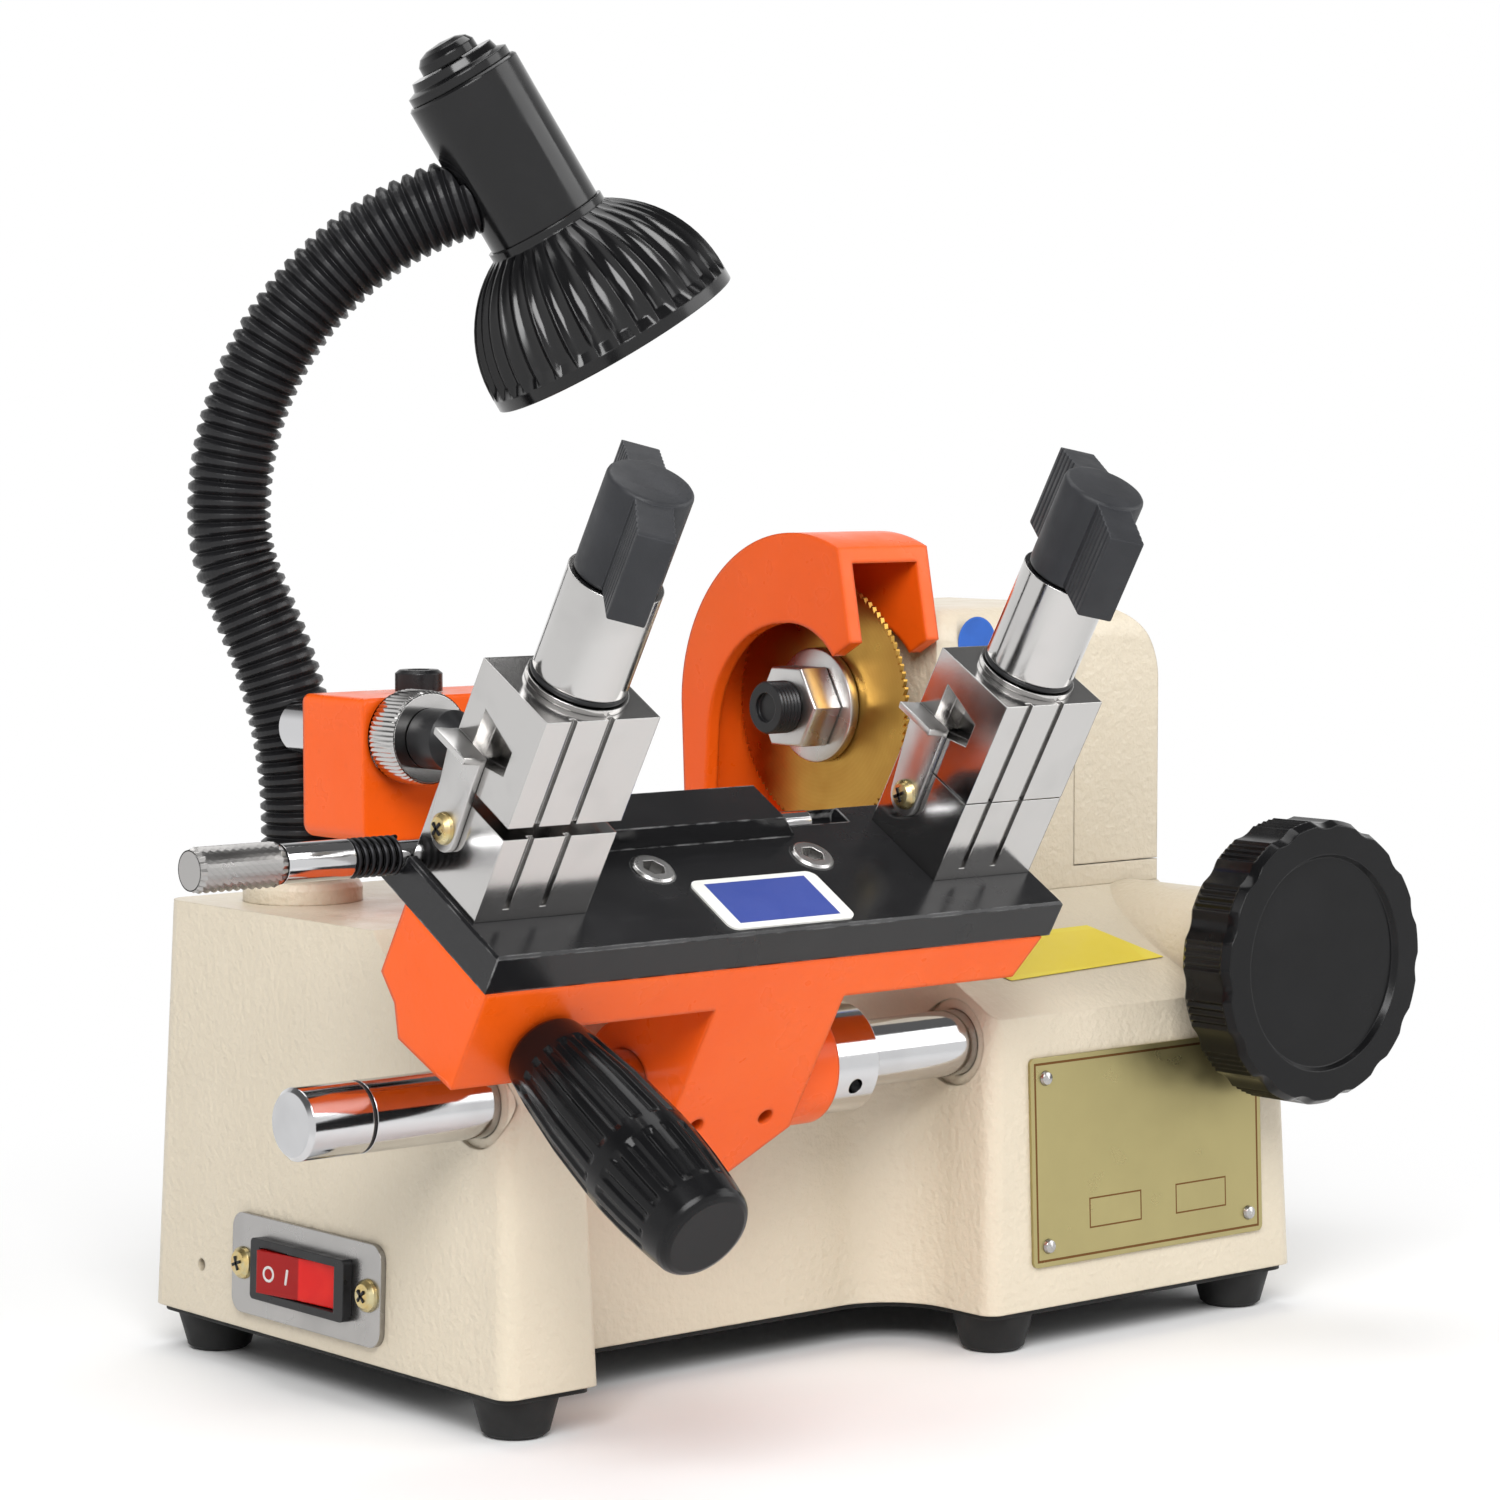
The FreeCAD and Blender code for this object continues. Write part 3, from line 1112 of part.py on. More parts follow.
def walk(kind, size, turn, place, heading, share):
    """Place and heading after a share of one run, in the lamp's plane."""
    h = math.radians(heading)
    if kind == "line":
        return (place[0] + size * share * math.sin(h), place[1] + size * share * math.cos(h)), heading
    side = 1.0 if turn > 0 else -1.0
    centre = (place[0] + side * size * math.cos(h), place[1] - side * size * math.sin(h))
    end = math.radians(heading + turn * share)
    return ((centre[0] - side * size * math.cos(end), centre[1] + side * size * math.sin(end)),
            heading + turn * share)


def lamp_point(place):
    base, across, _ = lamp_frame()
    return base + across * place[0] + V(0, 0, place[1])


def lamp_way(heading):
    _, across, _ = lamp_frame()
    h = math.radians(heading)
    return across * math.sin(h) + V(0, 0, math.cos(h))


def run_length(kind, size, turn):
    return size if kind == "line" else size * math.radians(abs(turn))


def along_neck(distance, steps):
    for kind, size, turn, place, heading in steps:
        length = run_length(kind, size, turn)
        if distance <= length + 1e-9:
            return walk(kind, size, turn, place, heading, distance / length)
        distance -= length
    return walk(*steps[-1], 1.0)


def gooseneck():
    """Ribbed hose: ruled loft through four circles for each rib, with an open bore."""
    steps, _, _ = neck_path()
    total = sum(run_length(kind, size, turn) for kind, size, turn, _, _ in steps)
    _, _, away = lamp_frame()
    pitch = total / NECK_RIBS

    def ring(distance, radius):
        place, heading = along_neck(distance, steps)
        circle = Part.Circle(lamp_point(place), lamp_way(heading), radius)
        circle.XAxis = away
        return Part.Wire(circle.toShape())

    rings = []
    for i in range(NECK_RIBS):
        for share, radius in ((0.0, NECK_VALLEY), (0.06, NECK_VALLEY), (0.3, NECK_R), (0.76, NECK_R)):
            rings.append(ring((i + share) * pitch, radius))
    rings.append(ring(total, NECK_VALLEY))
    hose = Part.makeLoft(rings, True, True)
    edges = []
    for kind, size, turn, place, heading in steps:
        end, _ = walk(kind, size, turn, place, heading, 1.0)
        if kind == "line":
            edges.append(Part.LineSegment(lamp_point(place), lamp_point(end)).toShape())
        else:
            middle, _ = walk(kind, size, turn, place, heading, 0.5)
            edges.append(Part.Arc(lamp_point(place), lamp_point(middle), lamp_point(end)).toShape())
    bore = Part.Wire(edges).makePipeShell([ring(0, NECK_BORE)], True, False)
    # Its upper end is saddled to the round socket
    saddle = on_head(rod((0, 0, -SOCKET_UP), (0, 0, 1), SOCKET_R + GAP, SOCKET_UP + SOCKET_DOWN))
    return hose.cut(bore).cut(saddle)


def lamp_foot():
    base, _, _ = lamp_frame()
    profile = [(NECK_BORE, 0), (14.5, 0), (14.5, 3.5), (13.6, 4.9), (12.0, 5.5), (NECK_BORE, 5.5)]
    return turned(profile, (base.x, base.y, base.z + SEAT), (0, 0, 1))


def head_frame():
    """Where the neck meets the lamp head's axis, and the axis pointing to the mouth."""
    _, across, away = lamp_frame()
    _, place, heading = neck_path()
    lean, tip = math.radians(HEAD_LEAN), math.radians(HEAD_AWAY)
    axis = across * (math.sin(lean) * math.cos(tip)) + away * math.sin(tip) - V(0, 0, math.cos(lean) * math.cos(tip))
    meet = lamp_point(place) + lamp_way(heading) * (SOCKET_R + SEAT - NECK_SINK)
    return meet, axis


def on_head(shape):
    meet, axis = head_frame()
    shape.Placement = FreeCAD.Placement(meet, FreeCAD.Rotation(V(0, 0, 1), axis))
    return shape


def lamp_socket():
    floor = SOCKET_DOWN - BULB_BASE_L - 3.0
    inner = SOCKET_R - 2.0
    profile = [(inner, -SOCKET_UP), (SOCKET_R - 0.6, -SOCKET_UP), (SOCKET_R, 0.6 - SOCKET_UP), (SOCKET_R, SOCKET_DOWN),
               (BULB_BASE_R + SEAT, SOCKET_DOWN),
               (BULB_BASE_R + SEAT, floor + 2), (0, floor + 2), (0, floor), (inner, floor)]
    body = on_head(turned(profile, (0, 0, 0), (0, 0, 1)))
    _, place, heading = neck_path()
    way = lamp_way(heading)
    start = lamp_point(place) - way * (NECK_SINK + 1.0)
    return body.cut(Part.makeCylinder(NECK_BORE, SOCKET_R, start, way))


def lamp_cap():
    up = -SOCKET_UP
    profile = [(3.0, up + 2), (SOCKET_R - 2 - SEAT, up + 2), (SOCKET_R - 2 - SEAT, up - 0.1), (SOCKET_R - 1.2, up - 0.1),
               (SOCKET_R - 1.2, up - 2.2), (SOCKET_R - 3.2, up - 3.0), (SOCKET_R - 3.8, up - 5.0), (3.0, up - 5.0)]
    return on_head(turned(profile, (0, 0, 0), (0, 0, 1), 0))


def lamp_switch():
    up = -SOCKET_UP - 5.0 - GAP
    profile = [(0, up + 8), (3.0 - RUN, up + 8), (3.0 - RUN, up), (7.5, up), (7.4, up - 2.2), (6.2, up - 3.7), (4.0, up - 4.6),
               (0, up - 5.0)]
    return on_head(turned(profile, (0, 0, 0), (0, 0, 1)))


def shade_levels(inset):
    """Points (radius, height) of the shade's half section, from below its collar to its rim."""
    low = V(SOCKET_R + SHADE_STEP - inset, 0, SOCKET_DOWN + SEAT + SHADE_COLLAR)
    high = V(SHADE_R - inset, 0, SOCKET_DOWN + SHADE_L - SHADE_RIM)
    middle = V(0.3 * low.x + 0.7 * high.x, 0, low.z + 0.38 * (high.z - low.z))
    return [(p.x, p.z) for p in Part.Arc(low, middle, high).toShape().discretize(SHADE_LEVELS)]


def lamp_shade():
    top = SOCKET_DOWN + SEAT
    mouth = SOCKET_DOWN + SHADE_L
    # Grooves start below the collar and run to the rim
    shares = ((0.0, 0.0), (0.36, 0.0), (0.44, 1.0), (0.92, 1.0))
    levels = shade_levels(0)
    rings = [fluted_ring(*levels[0], SHADE_FLUTES, 0, shares)]
    for radius, z in levels[1:]:
        rings.append(fluted_ring(radius, z, SHADE_FLUTES, SHADE_GROOVE, shares))
    wall = Part.makeLoft(rings, True, True)
    collar_r = levels[0][0]
    collar = rod((0, 0, top), (0, 0, 1), collar_r, levels[0][1] - top)
    rim = rod((0, 0, mouth - SHADE_RIM), (0, 0, 1), SHADE_R, SHADE_RIM)
    body = wall.multiFuse([collar, rim])
    inner = shade_levels(SHADE_GROOVE + SHADE_WALL)
    room = [(0, inner[0][1])] + inner + [(inner[-1][0], mouth + 1), (0, mouth + 1)]
    body = body.cut(turned(room, (0, 0, 0), (0, 0, 1)))
    body = body.cut(rod((0, 0, top - 1), (0, 0, 1), SOCKET_R - 5, SHADE_COLLAR + 2))
    return on_head(body)


def lamp_bulb():
    z = SOCKET_DOWN - BULB_BASE_L
    low = SOCKET_DOWN
    profile = [(0, z), (BULB_BASE_R, z), (BULB_BASE_R, low + 4), (0.9 * BULB_R, low + 7.5), (BULB_R, low + 10),
               (BULB_R, low + 13), (0.84 * BULB_R, low + 16.5), (0.47 * BULB_R, low + 18.6), (0, low + 19)]
    return on_head(turned(profile, (0, 0, 0), (0, 0, 1)))


def all_pieces():
    plate, rivets = nameplate()
    pieces = {
        "base_casting": base_casting(), "bottom_plate": bottom_plate(), "feet": feet(),
        "shaft_bushes": shaft_bushes(), "nameplate": plate, "nameplate_rivets": rivets,
        "switch_plate": switch_plate(), "switch_bezel": switch_bezel(), "switch_rocker": switch_rocker(),
        "switch_screws": switch_screws(),
        "slide_shaft": slide_shaft(), "stop_collar": stop_collar(),
        "pinion_shaft": pinion_shaft(), "wheel_bush": wheel_bush(), "handwheel": handwheel(),
        "spindle": spindle(), "cutter": cutter(), "cutter_washer": cutter_washer(), "cutter_nut": cutter_nut(),
        "hood": hood(), "spindle_head": spindle_head(), "spindle_bearings": spindle_bearings(),
        "belt_cover": belt_cover(), "spindle_pulley": spindle_pulley(),
        "drive_belt": drive_belt(), "motor": motor(), "motor_rotor": motor_rotor(),
        "carriage_casting": carriage_casting(), "hub_screws": hub_screws(), "carriage_plate": carriage_plate(),
        "plate_screws": plate_screws(), "plate_label": plate_label(), "handle_grip": handle_grip(),
        "handle_stud": handle_stud(), "gauge_rod": gauge_rod(), "gauge_knob": gauge_knob(),
        "gauge_spring": gauge_spring(),
        "tracer_bracket": tracer_bracket(), "tracer_rod": tracer_rod(), "stylus": stylus(),
        "tracer_ring": tracer_ring(), "tracer_lock": tracer_lock(),
        "gooseneck": gooseneck(), "lamp_foot": lamp_foot(), "lamp_socket": lamp_socket(), "lamp_cap": lamp_cap(),
        "lamp_switch": lamp_switch(), "lamp_shade": lamp_shade(), "lamp_bulb": lamp_bulb(),
    }
    studs, straps, screws = [], [], []
    for side, x, gap, turn in (("left", LEFT_JAW_X, LEFT_GAP, LEFT_WING_TURN),
                               ("right", RIGHT_JAW_X, RIGHT_GAP, RIGHT_WING_TURN)):
        pieces[side + "_lower_jaw"] = lower_jaw(x)
        pieces[side + "_upper_jaw"] = upper_jaw(x, gap)
        pieces[side + "_knob"] = wing_knob(x, gap, turn)
        pieces[side + "_knob_sleeve"] = knob_sleeve(x, gap)
        studs.append(clamp_stud(x, gap))
        straps.append(guide_strap(x))
        screws.append(strap_screw(x))
    pieces["clamp_studs"] = Part.makeCompound(studs)
    pieces["guide_straps"] = Part.makeCompound(straps)
    pieces["strap_screws"] = Part.makeCompound(screws)
    return pieces


def plan_centre(pieces):
    """Middle of the whole machine's box in plan, where the origin goes."""
    bounds = Part.makeCompound(list(pieces.values())).optimalBoundingBox()
    return bounds.Center.x, bounds.Center.y


def main():
    os.makedirs("parts", exist_ok=True)
    pieces = all_pieces()
    x, y = plan_centre(pieces)
    for name, shape in pieces.items():
        shape.translate(V(-x, -y, 0))
        shape.exportStep("parts/" + name + ".step")


if __name__ == "__main__":
    main()
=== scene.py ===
import bpy
import json
import math
from mathutils import Matrix, Vector


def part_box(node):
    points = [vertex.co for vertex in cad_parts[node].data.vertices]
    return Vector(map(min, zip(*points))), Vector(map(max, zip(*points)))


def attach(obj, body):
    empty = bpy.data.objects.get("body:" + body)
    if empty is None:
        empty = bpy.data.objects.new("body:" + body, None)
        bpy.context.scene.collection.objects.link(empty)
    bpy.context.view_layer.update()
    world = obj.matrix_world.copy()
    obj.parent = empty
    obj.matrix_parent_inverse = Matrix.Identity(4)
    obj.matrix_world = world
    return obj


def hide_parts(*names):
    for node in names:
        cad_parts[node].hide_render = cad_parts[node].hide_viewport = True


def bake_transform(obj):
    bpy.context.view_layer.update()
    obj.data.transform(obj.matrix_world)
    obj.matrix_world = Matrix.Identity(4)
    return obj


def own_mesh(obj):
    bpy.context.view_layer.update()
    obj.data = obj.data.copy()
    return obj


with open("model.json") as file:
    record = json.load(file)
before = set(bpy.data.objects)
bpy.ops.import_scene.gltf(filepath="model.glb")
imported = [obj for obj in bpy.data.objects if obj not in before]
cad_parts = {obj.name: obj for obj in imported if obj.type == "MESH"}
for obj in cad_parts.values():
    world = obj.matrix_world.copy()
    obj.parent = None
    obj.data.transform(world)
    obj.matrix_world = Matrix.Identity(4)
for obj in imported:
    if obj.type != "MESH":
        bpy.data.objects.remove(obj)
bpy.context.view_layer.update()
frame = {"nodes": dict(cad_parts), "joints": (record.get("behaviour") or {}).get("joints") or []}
nodes = frame["nodes"]
joints = {joint["name"]: joint for joint in frame["joints"]}

MM = 0.001

# Where things are, from the frame
base_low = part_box("base_casting")[0]
plate_up = Vector(joints["left_jaw_lift"]["axis"]).normalized()
plate_back = Vector((1, 0, 0)).cross(plate_up) * -1

lamp_down = Vector(joints["lamp_switch_turn"]["axis"]).normalized() * -1
lamp_meet = Vector(joints["lamp_switch_turn"]["pos_m"])

# Camera, as fitted to the photograph
PHOTO_SIZE = 1500
FOCAL_PIXELS = 4308.4
CAMERA_YAW = math.radians(40.14)
CAMERA_PITCH = math.radians(4.311)
CAMERA_FROM_BASE = Vector((-558.3, -739.2, 213.4)) * MM

# Lamp neck: its runs repeat the part's, in millimetres and degrees
NECK_TURN = math.radians(-40.14)
NECK_FOOT = 6.0
NECK_RUNS = (("line", 12.3, 0), ("arc", 123.5, -22), ("line", 13.4, 0),
             ("arc", 42.0, 22), ("arc", 79.3, 72), ("line", 5.6, 0))
NECK_RADIUS = 10.0 * MM
NECK_VALLEY = 8.5 * MM
NECK_RIBS = 62

# Lamp shade
SOCKET_RADIUS = 14.5 * MM
SHADE_STEP = 0.9 * MM
SHADE_RADIUS = 32.2 * MM
SHADE_COLLAR = 2.0 * MM
SHADE_RIM = 3.0 * MM
SHADE_RIBS = 36

# Clamp knobs, as measured in the photograph
BARREL_RADIUS = 9.5 * MM
BARREL_HIGH = 23.2 * MM
WING_REACH = 21.5 * MM
WING_THICK = 8.4 * MM
WING_LOW = 0.8 * MM
WING_HIGH = 20.2 * MM
KNOB_SKIRT = 5.5 * MM
SLEEVE_RING = (10.05 * MM, 0.72 * MM)

# Spindle end, straps and rings
STUB_RADIUS = 6.6 * MM
STUB_PAST_SPINDLE = 1.2 * MM
STUB_ROWS = 12
NUT_RADIUS = 11.3 * MM
WASHER_RADIUS = 14.4 * MM
STRAP_SIZE = (1.6 * MM, 8.6 * MM, 25.2 * MM)
STRAP_FOLD = 18.4 * MM
# Size of the dark ring that paints shade into the shaft's groove
SHAFT_GROOVE_SHADE = (7.45 * MM, 0.46 * MM)
SHAFT_GROOVE = 30.3 * MM

# Handwheel
WHEEL_GROUPS = 15
WHEEL_STEPS = 16
WHEEL_RIBBED = 9
WHEEL_NOTCH = 0.6 * MM
WHEEL_HOLLOW = 0.85 * MM
WHEEL_DISH = 27 * MM


# Hand tools

def alone(piece):
    bpy.ops.object.select_all(action="DESELECT")
    piece.select_set(True)
    bpy.context.view_layer.objects.active = piece
    return piece


def added(name):
    piece = bpy.context.object
    piece.name = name
    piece.data.name = name
    return alone(piece)


def editing(piece):
    alone(piece)
    bpy.ops.object.mode_set(mode="EDIT")


def done(piece):
    bpy.ops.object.mode_set(mode="OBJECT")
    return piece


def choose(piece, kind, test):
    """Select the verts, edges or faces of a piece in edit mode by a test on each."""
    bpy.ops.mesh.select_mode(type={"verts": "VERT", "edges": "EDGE", "faces": "FACE"}[kind])
    bpy.ops.mesh.select_all(action="DESELECT")
    bpy.ops.object.mode_set(mode="OBJECT")
    places = [v.co.copy() for v in piece.data.vertices]
    if kind == "verts":
        for vertex in piece.data.vertices:
            vertex.select = test(vertex.co)
    elif kind == "edges":
        for edge in piece.data.edges:
            edge.select = test(*[places[i] for i in edge.vertices])
    else:
        for face in piece.data.polygons:
            face.select = test(face.center, face.normal)
    bpy.ops.object.mode_set(mode="EDIT")


def settled(piece, body, material, angle=35):
    """Put the piece's place in its mesh, smooth it, paint it and let it ride on its body."""
    alone(piece)
    bpy.ops.object.transform_apply(location=True, rotation=True, scale=True)
    bpy.ops.object.shade_smooth_by_angle(angle=math.radians(angle))
    piece.data.materials.clear()
    piece.data.materials.append(material)
    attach(piece, body)
    return piece


def applied(piece, kind, **settings):
    alone(piece)
    modifier = piece.modifiers.new(kind.title(), kind)
    for key, value in settings.items():
        setattr(modifier, key, value)
    bpy.ops.object.modifier_apply(modifier=modifier.name)
    return piece


def turned_to(piece, start, axis):
    """Stand a piece that was made along Z at a start point along an axis."""
    piece.rotation_mode = "QUATERNION"
    piece.rotation_quaternion = Vector((0, 0, 1)).rotation_difference(Vector(axis).normalized())
    piece.location = start
    return piece


# Finishes

class Finish:
    """A painted, plated or moulded surface built from nodes on object coordinates."""

    def __init__(self, name, colour, roughness, metal=0.0, coat=0.0, edge=0.25, specular=0.5):
        self.material = bpy.data.materials.new(name)
        self.material.use_nodes = True
        self.tree = self.material.node_tree
        self.shader = self.tree.nodes["Principled BSDF"]
        self.place = self.node("TexCoord").outputs["Object"]
        self.shader.inputs["Base Color"].default_value = (*colour, 1)
        self.shader.inputs["Roughness"].default_value = roughness
        self.shader.inputs["Metallic"].default_value = metal
        self.shader.inputs["Specular IOR Level"].default_value = specular
        self.shader.inputs["Coat Weight"].default_value = coat
        self.shader.inputs["Coat Roughness"].default_value = 0.08
        self.bevel = self.node("Bevel", samples=6)
        self.bevel.inputs["Radius"].default_value = edge * MM
        self.normal = self.bevel.outputs["Normal"]
        self.join(self.normal, self.shader.inputs["Normal"])

    def node(self, kind, **settings):
        made = self.tree.nodes.new("ShaderNode" + kind)
        for key, value in settings.items():
            setattr(made, key, value)
        return made

    def join(self, out, into):
        self.tree.links.new(out, into)

    def moved(self, scale=(1, 1, 1), turn=(0, 0, 0), shift=(0, 0, 0)):
        mapping = self.node("Mapping", vector_type="TEXTURE")
        mapping.inputs["Location"].default_value = shift
        mapping.inputs["Rotation"].default_value = turn
        mapping.inputs["Scale"].default_value = scale
        self.join(self.place, mapping.inputs["Vector"])
        return mapping.outputs["Vector"]

    def noise(self, size, detail=2.0, place=None):
        """Cloudy noise whose blotches are about a size in millimetres."""
        made = self.node("TexNoise")
        made.inputs["Scale"].default_value = 1.0 / (size * MM)
        made.inputs["Detail"].default_value = detail
        self.join(place or self.place, made.inputs["Vector"])
        return made.outputs["Fac"]

    def span(self, value, low, high, to_low=0.0, to_high=1.0):
        made = self.node("MapRange")
        for key, number in (("From Min", low), ("From Max", high), ("To Min", to_low), ("To Max", to_high)):
            made.inputs[key].default_value = number
        self.join(value, made.inputs["Value"])
        return made.outputs["Result"]

    def maths(self, operation, a, b=0.0):
        made = self.node("Math", operation=operation)
        for socket, value in zip(made.inputs, (a, b)):
            if isinstance(value, (int, float)):
                socket.default_value = value
            else:
                self.join(value, socket)
        return made.outputs["Value"]

    def tint(self, mask, colour):
        """Lay another colour over the surface where the mask is one."""
        mix = self.node("Mix", data_type="RGBA")
        self.join(mask, mix.inputs["Factor"])
        source = self.shader.inputs["Base Color"]
        if source.is_linked:
            self.join(source.links[0].from_socket, mix.inputs["A"])
        else:
            mix.inputs["A"].default_value = source.default_value
        mix.inputs["B"].default_value = (*colour, 1)
        self.join(mix.outputs["Result"], source)
        return self

    def shine(self, mask, low, high):
        """Roughness runs from low to high with the mask."""
        self.join(self.span(mask, 0.3, 0.7, low, high), self.shader.inputs["Roughness"])
        return self

    def raised(self, height, depth, strength=1.0):
        """A relief of a depth in millimetres."""
        bump = self.node("Bump")
        bump.inputs["Strength"].default_value = strength
        bump.inputs["Distance"].default_value = depth * MM
        self.join(height, bump.inputs["Height"])
        self.join(self.shader.inputs["Normal"].links[0].from_socket, bump.inputs["Normal"])
        self.join(bump.outputs["Normal"], self.shader.inputs["Normal"])
        return self

    def edges(self, width):
        """One along sharp edges, from how far a rounded normal leans away from the true one."""
        wide = self.node("Bevel", samples=6)
        wide.inputs["Radius"].default_value = width * MM
        dot = self.node("VectorMath", operation="DOT_PRODUCT")
        self.join(wide.outputs["Normal"], dot.inputs[0])
        self.join(self.node("NewGeometry").outputs["Normal"], dot.inputs[1])
        return self.span(dot.outputs["Value"], 0.97, 0.80)

    def corners(self, reach):
        """One in inside corners, from ambient occlusion: painted shade where little light reaches."""
        shade = self.node("AmbientOcclusion", samples=6)
        shade.inputs["Distance"].default_value = reach * MM
        return self.span(shade.outputs["AO"], 0.75, 0.35)


def orange_peel_paint(name, colour, pale, dark, roughness, peel, specular=0.4, edge=0.7):
    paint = Finish(name, colour, roughness, coat=0.1, edge=edge, specular=specular)
    cloud = paint.noise(45, 4)
    paint.tint(paint.span(cloud, 0.45, 0.75, 0, 0.5), pale)
    paint.tint(paint.span(paint.noise(2.2, 3), 0.62, 0.80, 0, 0.10), dark)
    # Painted shade: inside corners are darkened toward the dark colour, which also tints the random specks
    # above.
    paint.tint(paint.maths("MULTIPLY", paint.corners(7), 0.45), dark)
    paint.shine(paint.noise(9, 3), roughness - 0.06, roughness + 0.10)
    paint.raised(paint.noise(1.9, 2), peel, 1.0)
    paint.raised(paint.noise(12, 1), peel * 2.2, 0.25)
    return paint.material


def satin_black_plate():
    plate = Finish("satin_black_plate", (0.010, 0.010, 0.011), 0.24, edge=0.3, specular=0.35)
    streaks = plate.noise(14, 5, plate.moved((1, 0.12, 0.12)))
    plate.tint(plate.span(streaks, 0.55, 0.8, 0, 0.35), (0.03, 0.03, 0.032))
    worn = plate.maths("MULTIPLY", plate.edges(0.9), plate.span(plate.noise(6, 4), 0.42, 0.62))
    plate.tint(worn, (0.30, 0.30, 0.30))
    plate.shine(plate.noise(20, 5), 0.16, 0.32)
    plate.raised(plate.noise(0.9, 2), 0.03, 0.5)
    return plate.material


def bright_metal(name, colour, roughness, grain=(1, 1, 0.04), smudge=0.12, edge=0.35, turn=(0, 0, 0)):
    """Ground or plated metal: fine lines along a direction, smudges and paler edges."""
    metal = Finish(name, colour, roughness, metal=1.0, edge=edge)
    lines = metal.noise(0.7, 4, metal.moved(grain, turn))
    metal.shine(metal.noise(16, 4), max(0.03, roughness - smudge / 2), roughness + smudge)
    darker = tuple(c * 0.72 for c in colour)
    metal.tint(metal.span(metal.noise(22, 3), 0.52, 0.80, 0, 0.55), darker)
    # Painted shade: inside corners are darkened toward a third of the metal's colour.
    metal.tint(metal.maths("MULTIPLY", metal.corners(4), 0.6), tuple(c * 0.30 for c in colour))
    metal.raised(lines, 0.012, 0.35)
    return metal.material


def cutter_coating():
    low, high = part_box("cutter")
    centre = (low + high) / 2
    gold = Finish("gold_cutter_coating", (0.46, 0.26, 0.055), 0.34, metal=1.0, edge=0.1)
    around = gold.node("TexWave", wave_type="RINGS", rings_direction="X")
    around.inputs["Scale"].default_value = 1 / (3.5 * MM)
    around.inputs["Distortion"].default_value = 0.6
    gold.join(gold.moved(shift=centre), around.inputs["Vector"])
    gold.tint(gold.span(around.outputs["Fac"], 0.2, 0.9, 0, 0.15), (0.53, 0.32, 0.08))
    gold.tint(gold.span(gold.noise(18, 4), 0.45, 0.75, 0, 0.5), (0.35, 0.19, 0.035))
    gold.shine(gold.noise(8, 4), 0.26, 0.40)
    gold.raised(around.outputs["Fac"], 0.01, 0.3)
    return gold.material


def gloss_black(name, roughness=0.16, grain=0.008, specular=0.2):
    black = Finish(name, (0.005, 0.005, 0.0055), roughness, edge=0.5, specular=specular)
    black.tint(black.span(black.noise(25, 4), 0.5, 0.8, 0, 0.5), (0.010, 0.010, 0.011))
    black.tint(black.maths("MULTIPLY", black.edges(0.6), 0.25), (0.06, 0.06, 0.06))
    black.shine(black.noise(10, 5), roughness - 0.05, roughness + 0.12)
    black.raised(black.noise(2.5, 3), grain * 4, 0.3)
    return black.material


def moulded_plastic(name, colour, roughness, grain):
    plastic = Finish(name, colour, roughness, edge=0.45, specular=0.3)
    plastic.tint(plastic.span(plastic.noise(12, 4), 0.45, 0.75, 0, 0.6), tuple(c * 1.5 for c in colour))
    plastic.tint(plastic.maths("MULTIPLY", plastic.edges(0.8), 0.35), tuple(min(1, c * 3) for c in colour))
    plastic.shine(plastic.noise(5, 3), roughness - 0.08, roughness + 0.10)
    plastic.raised(plastic.noise(0.5, 2), grain, 0.5)
    return plastic.material


def zinc_yellow():
    zinc = Finish("yellow_zinc", (0.62, 0.47, 0.20), 0.28, metal=1.0, edge=0.2)
    zinc.tint(zinc.span(zinc.noise(2.5, 3), 0.45, 0.65, 0, 0.6), (0.55, 0.55, 0.38))
    zinc.tint(zinc.span(zinc.noise(4, 3), 0.55, 0.75, 0, 0.5), (0.60, 0.33, 0.18))
    zinc.shine(zinc.noise(3, 3), 0.2, 0.4)
    zinc.raised(zinc.noise(0.6, 2), 0.02, 0.4)
    return zinc.material


def red_lens():
    red = Finish("red_lens", (0.70, 0.008, 0.005), 0.16, edge=0.4, specular=0.2)
    red.shader.inputs["Subsurface Weight"].default_value = 0.25
    red.shader.inputs["Subsurface Radius"].default_value = (0.004, 0.0006, 0.0005)
    red.tint(red.span(red.noise(6, 3), 0.45, 0.7, 0, 0.4), (0.80, 0.02, 0.010))
    low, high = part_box("switch_rocker")
    split = red.node("SeparateXYZ")
    red.join(red.place, split.inputs["Vector"])
    middle = (low.y + high.y) / 2
    # Painted shade: the rocker's half toward +Y, tipped down into the bezel, is darkened; the other half
    # keeps the bright red.
    shaded_half = red.span(split.outputs["Y"], middle - 0.3 * MM, middle + 0.3 * MM, 0, 0.75)
    red.tint(shaded_half, (0.20, 0.006, 0.006))
    red.shine(red.noise(5, 3), 0.09, 0.2)
    red.raised(red.noise(1.2, 2), 0.02, 0.3)
    return red.material


